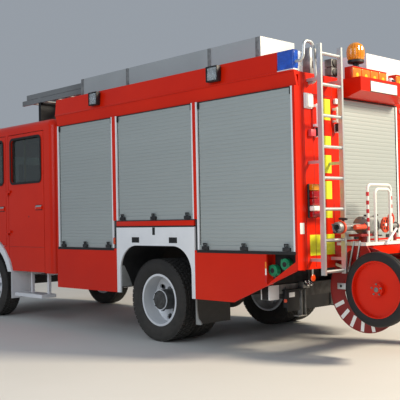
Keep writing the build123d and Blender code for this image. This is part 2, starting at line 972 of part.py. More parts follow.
# Lower side panels, the rear pair cut off along the departure slope
with BuildPart() as lower_side_panels:
    front_outline = [
        (at(front_riser), panel_bottom_z),
        (at(body_l), panel_bottom_z),
        (at(body_l), floor_z - 6),
        (at(front_riser), floor_z - 6),
    ]
    rear_outline = [
        (at(departure_station), panel_bottom_z),
        (at(mid_bay_rear_station), panel_bottom_z),
        (at(mid_bay_rear_station), floor_z - 6),
        (at(recess_station), floor_z - 6),
        (at(recess_station), slope_z(recess_station)),
    ]
    tail_outline = [
        (at(rear_wall), slope_z(rear_wall)),
        (at(recess_station), slope_z(recess_station)),
        (at(recess_station), slope_z(recess_station) + 12),
        (at(rear_wall), slope_z(rear_wall) + recess_rail_h),
    ]
    for side_name, side in sides:
        side_plate(front_outline, body_half_y, skin, side)
        side_plate(rear_outline, body_half_y, skin, side)
        side_plate(tail_outline, body_half_y, skin, side)
        back_y = body_half_y - recess_depth
        block(
            (at(rear_wall), at(recess_station) + 60),
            (side * back_y, side * (back_y - 12)),
            (slope_z(rear_wall), floor_bottom_z),
        )
        block(
            (at(recess_station) + 40, at(recess_station) + 60),
            (side * (body_half_y - skin), side * (back_y - 12)),
            (slope_z(recess_station), floor_bottom_z),
        )
write(lower_side_panels, "lower_side_panels")

# White panels with the rear wheel arches
with BuildPart() as arch_panels:
    for side_name, side in sides:
        panel_outline = [
            (at(mid_bay_rear_station), panel_bottom_z),
            (at(front_riser), panel_bottom_z),
            (at(front_riser), arch_panel_top_z),
            (at(mid_bay_rear_station), arch_panel_top_z),
        ]
        side_plate(panel_outline, body_half_y, skin, side)
        with BuildSketch(Plane.XZ.offset(-side * body_half_y)) as arch:
            with Locations((rear_axle_x, arch_top_z / 2)):
                Rectangle(2 * arch_half_w, arch_top_z)
            fillet(arch.vertices().group_by(Axis.Y)[-1], arch_corner_r)
            for slot_x in (rear_axle_x - panel_slot_x, rear_axle_x + panel_slot_x):
                with Locations((slot_x, panel_slot_z)):
                    Rectangle(panel_slot_w, panel_slot_h)
        extrude(arch.sketch, amount=side * skin, mode=Mode.SUBTRACT)
write(arch_panels, "arch_panels")

# Wheelhouse liners behind the arch panels, with the mudflaps that hang from them
with BuildPart() as arch_liners:
    for side_name, side in sides:
        for grow, mode in ((liner_sheet, Mode.ADD), (0, Mode.SUBTRACT)):
            with BuildSketch(Plane.XZ.offset(-side * (body_half_y - skin))) as tunnel:
                half_w = arch_half_w + grow
                low_z = panel_bottom_z + 60
                with Locations((rear_axle_x, (low_z + arch_top_z + grow) / 2)):
                    Rectangle(2 * half_w, arch_top_z + grow - low_z)
                fillet(tunnel.vertices().group_by(Axis.Y)[-1], arch_corner_r + grow)
            extrude(tunnel.sketch, amount=side * locker_depth, mode=mode)
        flap_x = rear_axle_x - arch_half_w
        block(
            (flap_x, flap_x + flap_sheet),
            (side * (rear_tyre_face_y - 20), side * (rear_tyre_face_y - twin_pitch - tyre_w + 20)),
            (flap_bottom_z - 60, panel_bottom_z + 60),
        )
write(arch_liners, "arch_liners")

# Suction and pressure inlets in the tail recess, closed by green blind caps with two lugs
inlet_stations = ((366, 869), (209, 933))
with BuildPart() as inlet_caps:
    for side_name, side in sides:
        face_y = body_half_y - recess_depth
        for station, cap_z in inlet_stations:
            across(at(station), (side * face_y, side * (face_y + 30)), cap_z, 42)
            across(at(station), (side * (face_y + 30), side * (face_y + 72)), cap_z, 58)
            across(at(station), (side * (face_y + 72), side * (face_y + 84)), cap_z, 40)
write(inlet_caps, "inlet_caps")

# Under-run bar on two hangers, and the coupling bracket below the frame's end
with BuildPart() as underrun_and_coupling:
    bar_x = (at(underrun_station), at(underrun_station) + underrun_d)
    bar_z = (underrun_bottom_z, underrun_bottom_z + underrun_h)
    block(bar_x, (-underrun_half_y, underrun_half_y), bar_z)
    block(
        (bar_x[0] + 6, bar_x[1] - 6),
        (-underrun_half_y - 1, underrun_half_y + 1),
        (bar_z[0] + 6, bar_z[1] - 6),
        mode=Mode.SUBTRACT,
    )
    for side_name, side in sides:
        block(
            (bar_x[0] + 20, at(frame_rear_station) + 120),
            (side * rail_outer_y, side * (rail_outer_y + 14)),
            (underrun_bottom_z + 10, rail_top_z - 20),
        )
    end_x = at(frame_rear_station + frame_end_inset) - cross_member_w / 2
    block((end_x - 16, end_x), (-110, 110), (rail_bottom_z - 20, rail_top_z - 30))
    along((end_x - 150, end_x - 16), 0, coupling_z, 34)
    jaw_x = (end_x - 240, end_x - 140)
    for low, high in ((20, 42), (-42, -20)):
        block(jaw_x, (-60, 60), (coupling_z + low, coupling_z + high))
    block((end_x - 170, end_x - 140), (-60, 60), (coupling_z - 20, coupling_z + 20))
    upright(end_x - 205, 0, (coupling_z - 60, coupling_z + 80), 16)
    block((bar_x[0] + 20, bar_x[0] + 44), (-60, 60), (430, underrun_bottom_z))
write(underrun_and_coupling, "underrun_and_coupling")


# Crew cab: one outline in side view, drawn in by cab_wall for the inside
def cab_form(inset):
    """The cab's outer form, or the space inside its walls."""
    nose_x = cab_front_x
    brow_x = cab_front_x - nose_lean
    header_x = brow_x - screen_lean
    rise = (cab_roof_z - screen_top_z) * screen_lean / (screen_top_z - nose_top_z)
    with BuildPart() as form:
        with BuildSketch(Plane.XZ) as outline:
            with BuildLine():
                Polyline(
                    (cab_rear_x, cab_bottom_z),
                    (cab_rear_x, cab_roof_z),
                    (header_x - rise - 60, cab_roof_z),
                    (brow_x, nose_top_z),
                    (nose_x, cab_bottom_z),
                    close=True,
                )
            make_face()
            fillet(outline.vertices().group_by(Axis.Y)[-1], cab_corner_r)
            if inset:
                offset(amount=-inset, kind=Kind.INTERSECTION)
        extrude(amount=cab_half_y - inset, both=True)
        if not inset:
            for end in (0, -1):
                rim = form.faces().sort_by(Axis.Y)[end].edges()
                rim = rim.filter_by(lambda edge: edge.center().Z > cab_bottom_z + 5)
                fillet(rim, cab_edge_r)
    return form.part


outer_form = cab_form(0)
inner_form = cab_form(cab_wall)
door_inner_y = cab_half_y - cab_wall
door_front_x = at(front_door_front_station)
door_split_x = at(door_split_station)
crew_rear_x = at(crew_door_rear_station)
panel_split_x = cab_front_x - cab_front_panel_l
window_spans = [
    # door, rear and front X of its opening, bottom of its opening
    ("front", door_split_x + door_pillar / 2, door_front_x, sill_z),
    ("crew", crew_rear_x, door_split_x - door_pillar / 2, cab_bottom_z),
]

with BuildPart() as cab_shell:
    add(outer_form)
    add(inner_form, mode=Mode.SUBTRACT)
    block(
        (cab_rear_x - 1, cab_front_x - cab_wall),
        (-door_inner_y, door_inner_y),
        (cab_bottom_z - 1, cab_floor_z - cab_floor),
        mode=Mode.SUBTRACT,
    )
    across(front_axle_x, (-cab_w, cab_w), axle_z, guard_outer_r + guard_gap, mode=Mode.SUBTRACT)

# Cab roof, front panel, side frames, and the floor with the rear wall: cut from the one shell
with BuildPart() as cab_roof:
    add(cab_shell.part)
    block(
        (cab_rear_x - 1, cab_front_x + 1),
        (-cab_w, cab_w),
        (roof_panel_z, cab_roof_z + 1),
        mode=Mode.INTERSECT,
    )
write(cab_roof, "cab_roof")

with BuildPart() as cab_front:
    add(cab_shell.part)
    block(
        (panel_split_x, cab_front_x + 1),
        (-cab_w, cab_w),
        (cab_bottom_z - 1, roof_panel_z),
        mode=Mode.INTERSECT,
    )
    with BuildSketch(Plane.YZ.offset(panel_split_x)):
        with Locations((0, (screen_bottom_z + screen_cut_top_z) / 2)):
            RectangleRounded(
                2 * screen_half_y, screen_cut_top_z - screen_bottom_z, window_corner_r + 20
            )
    extrude(amount=cab_front_panel_l + 1, mode=Mode.SUBTRACT)
    block(
        (cab_front_x - cab_wall - 1, cab_front_x + 1),
        (-grille_w / 2, grille_w / 2),
        (grille_bottom_z, grille_bottom_z + grille_h),
        mode=Mode.SUBTRACT,
    )
    for side_name, side in sides:
        block(
            (cab_front_x - 30, cab_front_x + 1),
            (side * headlamp_y, side * (headlamp_y + headlamp_w)),
            (headlamp_z, headlamp_z + headlamp_h),
            mode=Mode.SUBTRACT,
        )
write(cab_front, "cab_front")

with BuildPart() as cab_side_frames:
    add(cab_shell.part)
    block(
        (cab_rear_x - 1, panel_split_x),
        (-cab_w, cab_w),
        (cab_bottom_z - 1, roof_panel_z),
        mode=Mode.INTERSECT,
    )
    block(
        (cab_rear_x - 1, panel_split_x + 1),
        (-door_inner_y, door_inner_y),
        (cab_bottom_z - 1, roof_panel_z + 1),
        mode=Mode.SUBTRACT,
    )
    for name, rear, front, bottom in window_spans:
        block((rear, front), (-cab_w, cab_w), (bottom, door_top_z + door_gap), mode=Mode.SUBTRACT)
    for side_name, side in sides:
        for name, rear, front, bottom in window_spans:
            hinge_y = side * (cab_half_y + hinge_stand)
            for low_z in hinge_heights:
                hinge_x = front - door_gap / 2
                upright(hinge_x, hinge_y, (low_z - hinge_lug_h, low_z), hinge_r)
                block(
                    (hinge_x, hinge_x + (hinge_leaf_l if name == "front" else hinge_leaf_short)),
                    (side * cab_half_y, hinge_y + side * hinge_r / 2),
                    (low_z - hinge_lug_h, low_z),
                )
write(cab_side_frames, "cab_side_frames")

with BuildPart() as cab_floor_and_back:
    floor_z_span = (cab_floor_z - cab_floor, cab_floor_z)
    block(
        (cab_rear_x, cab_front_x - cab_wall - nose_lean),
        (-door_inner_y, door_inner_y),
        floor_z_span,
    )
    block(
        (cab_rear_x, cab_rear_x + cab_wall),
        (-door_inner_y, door_inner_y),
        (cab_floor_z, roof_panel_z),
    )
write(cab_floor_and_back, "cab_floor_and_back")

# Windscreen: a sheet in the lean of the front, cut to the rounded opening
with BuildPart() as windscreen:
    lean = screen_lean / (screen_top_z - nose_top_z)
    mid_wall_x = cab_front_x - nose_lean - cab_wall / 2
    low_x = mid_wall_x - (screen_bottom_z - nose_top_z) * lean
    high_x = mid_wall_x - (screen_cut_top_z - nose_top_z) * lean
    screen_outline = [
        (low_x, screen_bottom_z),
        (low_x - glass, screen_bottom_z),
        (high_x - glass, screen_cut_top_z),
        (high_x, screen_cut_top_z),
    ]
    with BuildSketch(Plane.XZ):
        with BuildLine():
            Polyline(*screen_outline, close=True)
        make_face()
    extrude(amount=screen_half_y, both=True)
    with BuildSketch(Plane.YZ.offset(panel_split_x)):
        with Locations((0, (screen_bottom_z + screen_cut_top_z) / 2)):
            RectangleRounded(
                2 * (screen_half_y - running_gap),
                screen_cut_top_z - screen_bottom_z - 2 * running_gap,
                window_corner_r + 20,
            )
    extrude(amount=cab_front_panel_l, mode=Mode.INTERSECT)
write(windscreen, "windscreen")

# Doors with cut windows and outside hinges, and the glass that fills each window
for side_name, side in sides:
    for name, rear, front, bottom in window_spans:
        low_x = rear + door_gap
        high_x = front - door_gap
        window_x = (low_x + window_frame, high_x - window_frame)
        window_centre = ((window_x[0] + window_x[1]) / 2, (window_bottom_z + window_top_z) / 2)
        hinge_x = front - door_gap / 2
        hinge_y = side * (cab_half_y + hinge_stand)
        with BuildPart() as door:
            block(
                (low_x, high_x),
                (side * door_inner_y, side * cab_half_y),
                (bottom + door_gap, door_top_z),
            )
            across(
                front_axle_x,
                (-cab_w, cab_w),
                axle_z,
                guard_outer_r + guard_gap + door_gap,
                mode=Mode.SUBTRACT,
            )
            with BuildSketch(Plane.XZ.offset(-side * cab_half_y)) as window:
                with Locations(window_centre):
                    RectangleRounded(
                        window_x[1] - window_x[0], window_top_z - window_bottom_z, window_corner_r
                    )
            extrude(window.sketch, amount=side * cab_wall, mode=Mode.SUBTRACT)
            for low_z in hinge_heights:
                upright(hinge_x, hinge_y, (low_z + running_gap, low_z + hinge_lug_h), hinge_r)
                block(
                    (hinge_x - hinge_leaf_l, hinge_x),
                    (side * cab_half_y, hinge_y + side * hinge_r / 2),
                    (low_z + running_gap, low_z + hinge_lug_h),
                )
            block(
                (low_x + 40, low_x + 40 + handle_l),
                (side * cab_half_y, side * (cab_half_y + handle_d)),
                (handle_z - handle_h / 2, handle_z + handle_h / 2),
            )
        write(door, f"{name}_door_{side_name}")
        with BuildPart() as pane:
            with BuildSketch(Plane.XZ.offset(-side * (cab_half_y - cab_wall / 2))):
                with Locations(window_centre):
                    RectangleRounded(
                        window_x[1] - window_x[0] - 2 * running_gap,
                        window_top_z - window_bottom_z - 2 * running_gap,
                        window_corner_r,
                    )
            extrude(amount=side * glass)
        write(pane, f"{name}_door_glass_{side_name}")

# Seats: two in front, a bench for the crew
with BuildPart() as cab_seats:
    for side_name, side in sides:
        x0 = at(seat_rear_station)
        y = (side * (seat_y - seat_w / 2), side * (seat_y + seat_w / 2))
        base_top_z = cab_floor_z + seat_base_h
        narrow_y = (y[0] + side * 60, y[1] - side * 60)
        block((x0 + 60, x0 + seat_l - 60), narrow_y, (cab_floor_z, base_top_z))
        block((x0, x0 + seat_l), y, (base_top_z, base_top_z + seat_cushion_h))
        block(
            (x0, x0 + seat_back_d),
            y,
            (base_top_z + seat_cushion_h, base_top_z + seat_cushion_h + seat_back_h),
        )
    x0 = at(bench_rear_station)
    block(
        (x0, x0 + seat_l),
        (-bench_half_y, bench_half_y),
        (cab_floor_z, base_top_z + seat_cushion_h),
    )
    block(
        (x0, x0 + seat_back_d),
        (-bench_half_y, bench_half_y),
        (base_top_z + seat_cushion_h, base_top_z + seat_cushion_h + seat_back_h),
    )
write(cab_seats, "cab_seats")

# Dashboard on a centre console, with the steering wheel on its column
with BuildPart() as dashboard:
    dash_x = (at(dash_rear_station), at(dash_rear_station) + dash_depth)
    block(dash_x, (-dash_half_y, dash_half_y), (dash_low_z, screen_bottom_z))
    block((dash_x[0] + 90, dash_x[1]), (-150, 150), (cab_floor_z, dash_low_z))
    column_foot = (dash_x[0] + 60, seat_y, dash_low_z + 60)
    column_lean = 35
    column_l = 230
    with Locations(Location(column_foot, (0, -column_lean, 0))):
        with Locations((0, 0, column_l / 2)):
            Cylinder(24, column_l)
        with Locations((0, 0, column_l)):
            Cylinder(wheel_rim_r, wheel_rim_w)
            Cylinder(wheel_rim_r - wheel_rim_w, wheel_rim_w, mode=Mode.SUBTRACT)
            Box(2 * wheel_rim_r - wheel_rim_w, 50, wheel_rim_w - 6)
            Cylinder(60, wheel_rim_w)
write(dashboard, "dashboard")

# Mirrors: a housing between two arms at each side
with BuildPart() as mirrors:
    for side_name, side in sides:
        x0 = at(mirror_station)
        y = (side * mirror_y, side * (mirror_y + mirror_w))
        block((x0, x0 + mirror_l), y, (mirror_low_z, mirror_low_z + mirror_h))
        for low_z in (mirror_low_z - mirror_arm, mirror_low_z + mirror_h):
            block(
                (x0 + 20, x0 + 20 + mirror_arm),
                (side * cab_half_y, side * (mirror_y + mirror_w / 2)),
                (low_z, low_z + mirror_arm),
            )
write(mirrors, "mirrors")

# White front mudguards with a grey flap behind, and the low cab steps on their arms
with BuildPart() as front_mudguards:
    guard_y = cab_half_y + guard_proud
    guard_points = [
        # outboard from the vehicle's middle, radius
        (guard_inner_y, guard_outer_r - guard_sheet),
        (guard_y - guard_sheet, guard_outer_r - guard_sheet),
        (guard_y - guard_sheet, guard_inner_r),
        (guard_y, guard_inner_r),
        (guard_y, guard_outer_r),
        (guard_inner_y, guard_outer_r),
    ]
    for side_name, side in sides:
        turned(front_axle_x, 0, side, guard_points, axle_z)
    block(
        (front_axle_x - guard_outer_r - 1, front_axle_x + guard_outer_r + 1),
        (-guard_y - 1, guard_y + 1),
        (axle_z - guard_outer_r - 1, guard_bottom_z),
        mode=Mode.SUBTRACT,
    )
    guard_foot = sqrt((guard_outer_r - guard_sheet / 2) ** 2 - (guard_bottom_z - axle_z) ** 2)
    for side_name, side in sides:
        block(
            (front_axle_x - guard_foot - flap_sheet / 2, front_axle_x - guard_foot + flap_sheet / 2),
            (side * guard_inner_y, side * guard_y),
            (flap_bottom_z, guard_bottom_z + 12),
        )
        block(
            (front_axle_x - 20, front_axle_x + 20),
            (side * guard_inner_y, side * (guard_inner_y + 40)),
            (axle_z + guard_outer_r - guard_sheet, cab_floor_z - cab_floor),
        )
        block(
            (at(step_rear_station), at(step_front_station)),
            (side * (cab_half_y - step_w), side * cab_half_y),
            (step_z - step_h / 2, step_z + step_h / 2),
        )
        for station in (step_rear_station + 120, step_front_station - 160):
            block(
                (at(station), at(station) + 40),
                (side * (cab_half_y - step_w), side * (cab_half_y - step_w + 40)),
                (step_z + step_h / 2, rail_bottom_z + 40),
            )
            block(
                (at(station), at(station) + 40),
                (side * rail_outer_y, side * (cab_half_y - step_w)),
                (rail_bottom_z, rail_bottom_z + 40),
            )
write(front_mudguards, "front_mudguards")

# Bumper on brackets at the ends of the rails
with BuildPart() as front_bumper:
    bumper_x = (cab_front_x + bumper_proud - bumper_t, cab_front_x + bumper_proud)
    bumper_top_z = cab_bottom_z - 5
    bumper_half_y = cab_half_y + 20
    block(bumper_x, (-bumper_half_y, bumper_half_y), (bumper_bottom_z, bumper_top_z))
    nose_edges = front_bumper.edges().filter_by(Axis.Z).group_by(Axis.X)[-1]
    fillet(nose_edges, 70)
    for side_name, side in sides:
        block(
            (at(frame_front_station), bumper_x[0]),
            (side * (rail_outer_y - rail_flange), side * rail_outer_y),
            (rail_bottom_z, bumper_top_z),
        )
write(front_bumper, "front_bumper")

# Grille: a backing plate with level bars
with BuildPart() as grille:
    back_x = cab_front_x - cab_wall + 6
    face_x = cab_front_x - 24
    grille_y = (-grille_w / 2, grille_w / 2)
    block((back_x, back_x + 10), grille_y, (grille_bottom_z, grille_bottom_z + grille_h))
    pitch = grille_h / grille_bars
    for bar in range(grille_bars):
        low_z = grille_bottom_z + pitch * (bar + 0.25)
        block((back_x + 10, face_x), grille_y, (low_z, low_z + pitch / 2))
write(grille, "grille")

# Fixed lamps: headlamps, tail clusters, white markers, floodlights on the fascias
with BuildPart() as lamps:
    for side_name, side in sides:
        block(
            (cab_front_x - 30, cab_front_x - 16),
            (side * headlamp_y, side * (headlamp_y + headlamp_w)),
            (headlamp_z, headlamp_z + headlamp_h),
        )
        block(
            (at(-tail_lamp_d), at(0)),
            (side * (tail_lamp_y - tail_lamp_w / 2), side * (tail_lamp_y + tail_lamp_w / 2)),
            (tail_lamp_bottom_z, tail_lamp_bottom_z + tail_lamp_h),
        )
        block(
            (at(-marker_d), at(0)),
            (side * (marker_y - marker_w / 2), side * (marker_y + marker_w / 2)),
            (marker_bottom_z, marker_bottom_z + marker_h),
        )
        for station in flood_stations:
            low_z = flood_z - flood_h / 2
            high_z = flood_z + flood_h / 2
            flood_points = [
                (side * fascia_y(low_z), low_z),
                (side * (crease_y + flood_d), low_z),
                (side * (crease_y + flood_d - 15), high_z),
                (side * fascia_y(high_z), high_z),
            ]
            with BuildSketch(Plane.YZ.offset(at(station) - flood_w / 2)):
                with BuildLine():
                    Polyline(*flood_points, close=True)
                make_face()
            extrude(amount=flood_w)
write(lamps, "lamps")

# Warning lamps: blue blocks in the rear corners, amber blocks along the rear edge and one beacon
with BuildPart() as warning_lamps:
    for side_name, side in sides:
        block(
            (at(0), at(blue_l)),
            (side * (crease_y - blue_w), side * crease_y),
            (crease_z, fascia_top_z),
        )
    for bar_y in amber_bar_ys:
        block(
            (at(0), at(amber_bar_d)),
            (bar_y - amber_bar_w / 2, bar_y + amber_bar_w / 2),
            (roof_top_z, roof_top_z + amber_bar_h),
        )
    upright(at(beacon_station), beacon_y, (roof_top_z + amber_bar_h, beacon_bottom_z), 22)
    upright(
        at(beacon_station), beacon_y, (beacon_bottom_z, beacon_bottom_z + beacon_h), beacon_r
    )
    fillet(warning_lamps.edges().group_by(Axis.Z)[-1], beacon_r * 0.6)
write(warning_lamps, "warning_lamps")

# Rear access ladder on brackets, with a bent grab rail at each rear corner
with BuildPart() as access_ladder:
    rail_x = (at(-access_stand_off) - access_rail_d / 2, at(-access_stand_off) + access_rail_d / 2)
    for end in (-1, 1):
        outer = access_y + end * access_w / 2
        inner = outer - end * access_rail_w
        block(rail_x, (inner, outer), (access_bottom_z, access_top_z))
        for low_z in access_bracket_heights:
            block((rail_x[1], at(0)), (inner, outer), (low_z, low_z + 30))
    for rung in range(access_rungs):
        across(
            at(-access_stand_off),
            (access_y - access_w / 2, access_y + access_w / 2),
            access_first_rung_z + rung * access_pitch,
            access_rung_d / 2,
        )
    for side_name, side in sides:
        stand_x = at(-grab_stand_off)
        bent_tube(
            [
                (at(0), side * grab_out_y, grab_foot_z),
                (stand_x, side * grab_out_y, grab_foot_z),
                (stand_x, side * (grab_out_y - 15), grab_top_z),
                (stand_x, side * (grab_in_y + 45), grab_top_z),
                (stand_x, side * grab_in_y, grab_bottom_z),
                (at(0), side * grab_in_y, grab_bottom_z),
            ],
            grab_d / 2,
            grab_bend,
        )
write(access_ladder, "access_ladder")

# Protruding housing over the rear shutter for the plate
with BuildPart() as plate_housing:
    shaped(
        [
            (at(0), housing_top_z),
            (at(-housing_reach), housing_top_z),
            (at(-housing_reach), housing_bottom_z + 50),
            (at(-60), housing_bottom_z),
            (at(0), housing_bottom_z),
        ],
        housing_half_y,
    )
write(plate_housing, "plate_housing")

# Ladder box on the roof, open at its front, and the bracket on the cab roof
with BuildPart() as ladder_box:
    box_x = (at(ladder_box_rear_station), at(ladder_box_front_station))
    box_y = (ladder_box_inner_y, ladder_box_outer_y)
    block(box_x, box_y, (rack_z, ladder_box_top_z))
    block(
        (box_x[0] + box_sheet, box_x[1] + 1),
        (box_y[0] + box_sheet, box_y[1] - box_sheet),
        (rack_z + box_sheet, ladder_box_top_z - box_sheet),
        mode=Mode.SUBTRACT,
    )
    for station in rack_posts:
        for post_y in ((box_y[0], box_y[0] + 40), (box_y[1] - 40, box_y[1])):
            block((at(station), at(station) + rack_post_w), post_y, (roof_top_z, rack_z))
    for station in (ladder_rear_station + 100, ladder_box_front_station - 100):
        block(
            (at(station) - 40, at(station)),
            (box_y[0] + box_sheet, box_y[1] - box_sheet),
            (rack_z + box_sheet, ladder_low_z),
        )
    centre_y = (ladder_box_inner_y + ladder_box_outer_y) / 2
    block(
        (at(cradle_station), at(cradle_station) + 60),
        (centre_y - ladder_w / 2 - 20, centre_y + ladder_w / 2 + 20),
        (cab_roof_z, ladder_low_z),
    )
write(ladder_box, "ladder_box")

# Extension ladder: two sections, one on the other, reaching out over the cab
with BuildPart() as extension_ladder:
    upper_low_z = ladder_low_z + ladder_beam_h + 4
    sections = [
        # bottom of the beams, front station
        (ladder_low_z, ladder_front_station),
        (upper_low_z, ladder_front_station - 120),
    ]
    for low_z, end_s in sections:
        x = (at(ladder_rear_station), at(end_s))
        for end in (-1, 1):
            outer = centre_y + end * ladder_w / 2
            block(x, (outer - end * ladder_beam_w, outer), (low_z, low_z + ladder_beam_h))
        rungs = int((x[1] - x[0] - 200) / rung_pitch) + 1
        for rung in range(rungs):
            across(
                x[1] - 120 - rung * rung_pitch,
                (centre_y - ladder_w / 2 + 4, centre_y + ladder_w / 2 - 4),
                low_z + ladder_beam_h / 2,
                rung_d / 2,
            )
    for end in (-1, 1):
        outer = centre_y + end * ladder_w / 2
        for x in (at(ladder_rear_station + 200), at(ladder_front_station - 500)):
            block(
                (x, x + 80),
                (outer - end * ladder_beam_w, outer),
                (ladder_low_z + ladder_beam_h, upper_low_z),
            )
write(extension_ladder, "extension_ladder")

# Roof locker with a hinged lid; the hinge lies along its outer edge
locker_right_y = locker_left_y - locker_w
locker_x = (at(locker_station), at(locker_station) + locker_l)
locker_y = (locker_right_y, locker_left_y)
lid_z = locker_top_z - locker_lid_h
lid_hinge_y = locker_right_y - hinge_r - 3
hinge_knuckle_l = 50
lid_hinge_stations = (locker_station + 200, locker_station + locker_l - 300)
with BuildPart() as roof_locker:
    block(locker_x, locker_y, (roof_top_z, lid_z))
    block(
        (locker_x[0] + locker_sheet, locker_x[1] - locker_sheet),
        (locker_y[0] + locker_sheet, locker_y[1] - locker_sheet),
        (roof_top_z + locker_sheet, lid_z + 1),
        mode=Mode.SUBTRACT,
    )
    for station in lid_hinge_stations:
        along((at(station), at(station) + hinge_knuckle_l), lid_hinge_y, lid_z, hinge_r)
        block(
            (at(station), at(station) + hinge_knuckle_l),
            (locker_right_y, lid_hinge_y),
            (lid_z - hinge_r, lid_z - 2),
        )
write(roof_locker, "roof_locker")

with BuildPart() as roof_locker_lid:
    low_z = lid_z + running_gap
    block(locker_x, locker_y, (low_z, locker_top_z))
    block(
        (locker_x[0] + locker_sheet, locker_x[1] - locker_sheet),
        (locker_y[0] + locker_sheet, locker_y[1] - locker_sheet),
        (low_z - 1, locker_top_z - locker_sheet),
        mode=Mode.SUBTRACT,
    )
    for station in lid_hinge_stations:
        x = at(station) + hinge_knuckle_l + running_gap
        along((x, x + hinge_knuckle_l), lid_hinge_y, lid_z, hinge_r)
        block(
            (x, x + hinge_knuckle_l), (locker_right_y, lid_hinge_y), (low_z + 2, low_z + hinge_r)
        )
write(roof_locker_lid, "roof_locker_lid")

# Light mast: the tube slides up out of its socket and carries a turning head with two lamps
with BuildPart() as mast_tube:
    tube_z = (mast_socket_bottom_z + 10 + running_gap, mast_tube_top_z)
    upright(at(mast_station), mast_y, tube_z, mast_tube_r)
    upright(
        at(mast_station),
        mast_y,
        (mast_socket_bottom_z + 9, mast_tube_top_z - 8),
        mast_tube_r - mast_tube_wall,
        mode=Mode.SUBTRACT,
    )
write(mast_tube, "mast_tube")

with BuildPart() as mast_head:
    head_z = mast_tube_top_z + running_gap
    upright(at(mast_station), mast_y, (head_z, head_z + 20), 45)
    for tier in (0, 1):
        low_z = head_z + 20 + tier * (mast_lamp_h - 15)
        block(
            (at(mast_station) - mast_lamp_d / 2, at(mast_station) + mast_lamp_d / 2),
            (mast_y - mast_lamp_w / 2, mast_y + mast_lamp_w / 2),
            (low_z, low_z + mast_lamp_h - 25),
        )
        upright(at(mast_station), mast_y, (low_z + mast_lamp_h - 26, low_z + mast_lamp_h - 14), 20)
write(mast_head, "mast_head")

# Hose reel trolley hung on the rear: side plates, platform, two handles and the stub axles
drum_x = at(drum_axle_station)
trolley_x = at(trolley_axle_station)
plate_out_y = reel_plate_y + reel_plate
platform_top_z = platform_z + platform_h
platform_x = (at(platform_rear_station), at(0))
with BuildPart() as reel_frame:
    reel_plate_outline = [
        (drum_x + 55, drum_axle_z - 60),
        (trolley_x - 50, trolley_axle_z - 45),
        (trolley_x - 55, trolley_axle_z + 45),
        (platform_x[0], platform_z),
        (platform_x[0] + 180, platform_z),
        (drum_x + 60, drum_axle_z + 50),
    ]
    for side_name, side in sides:
        side_plate(reel_plate_outline, plate_out_y, reel_plate, side)
        stub_y = (side * plate_out_y, side * (trolley_wheel_y + 20))
        across(trolley_x, stub_y, trolley_axle_z, trolley_axle_d / 2)
        across(
            drum_x,
            (side * (reel_plate_y - 1), side * (plate_out_y + 1)),
            drum_axle_z,
            drum_axle_d / 2 + running_gap,
            mode=Mode.SUBTRACT,
        )
        block(
            (drum_x + 40, at(tail_bearer_station - bearer_w / 2)),
            (side * reel_plate_y, side * plate_out_y),
            (floor_bottom_z - tail_rail_h - 30, floor_bottom_z - tail_rail_h),
        )
        block(
            (at(tail_bearer_station - bearer_w / 2), at(tail_bearer_station + bearer_w / 2)),
            (side * reel_plate_y, side * plate_out_y),
            (floor_bottom_z - tail_rail_h - 30, floor_bottom_z - tail_rail_h),
        )
    block(platform_x, (-plate_out_y, plate_out_y), (platform_z, platform_top_z))
    for y in ((-reel_plate_y + 40, -30), (30, reel_plate_y - 40)):
        block(
            (platform_x[0] + 80, platform_x[1] - 40),
            y,
            (platform_z - 1, platform_top_z + 1),
            mode=Mode.SUBTRACT,
        )
    for handle_x, y0, y1, top_z in reel_handles:
        bent_tube(
            [
                (at(handle_x), y0, platform_top_z - 10),
                (at(handle_x), y0, top_z),
                (at(handle_x), y1, top_z),
                (at(handle_x), y1, platform_top_z - 10),
            ],
            reel_handle_r,
            grab_bend,
        )
write(reel_frame, "reel_frame")

# Valve block with an open coupling to the left, a hand wheel and a lever, on the platform
with BuildPart() as reel_equipment:
    valve_x = at(reel_valve_station)
    block(
        (valve_x - 45, valve_x + 45),
        (reel_valve_y - 70, reel_valve_y + 70),
        (platform_top_z, reel_pipe_z + 75),
    )
    across(valve_x, (reel_valve_y + 70, reel_coupling_y), reel_pipe_z, 36)
    across(valve_x, (reel_coupling_y, reel_coupling_y + 55), reel_pipe_z, 56)
    across(valve_x, (reel_coupling_y - 20, reel_coupling_y + 56), reel_pipe_z, 28, mode=Mode.SUBTRACT)
    across(valve_x, (reel_wheel_y, reel_valve_y - 70), reel_pipe_z, 18)
    across(valve_x, (reel_wheel_y - 24, reel_wheel_y), reel_pipe_z, 80)
write(reel_equipment, "reel_equipment")

# Reel drum: ring flanges with spokes on a hollow barrel, turning in the side plates
ring_inner_r = flange_d / 2 - flange_ring_w
spoke_centre_r = (ring_inner_r + barrel_d / 2) / 2
spoke_l = ring_inner_r - barrel_d / 2 + 40
with BuildPart() as reel_drum:
    for side_name, side in sides:
        low_y = flange_y - flange_sheet / 2
        high_y = flange_y + flange_sheet / 2
        ring = (side * low_y, side * high_y)
        across(drum_x, ring, drum_axle_z, flange_d / 2)
        across(drum_x, ring, drum_axle_z, flange_d / 2 - flange_ring_w, mode=Mode.SUBTRACT)
        with Locations(Location((drum_x, side * flange_y, drum_axle_z), (90, 0, 0))):
            with PolarLocations(spoke_centre_r, drum_spokes):
                Box(spoke_l, spoke_w, flange_sheet)
        across(drum_x, ring, drum_axle_z, barrel_d / 2)
        across(drum_x, (side * high_y, side * (plate_out_y + 15)), drum_axle_z, drum_axle_d / 2)
    across(drum_x, (-flange_y, flange_y), drum_axle_z, barrel_d / 2)
    across(drum_x, (-flange_y + 4, flange_y - 4), drum_axle_z, barrel_d / 2 - barrel_wall, mode=Mode.SUBTRACT)
write(reel_drum, "reel_drum")

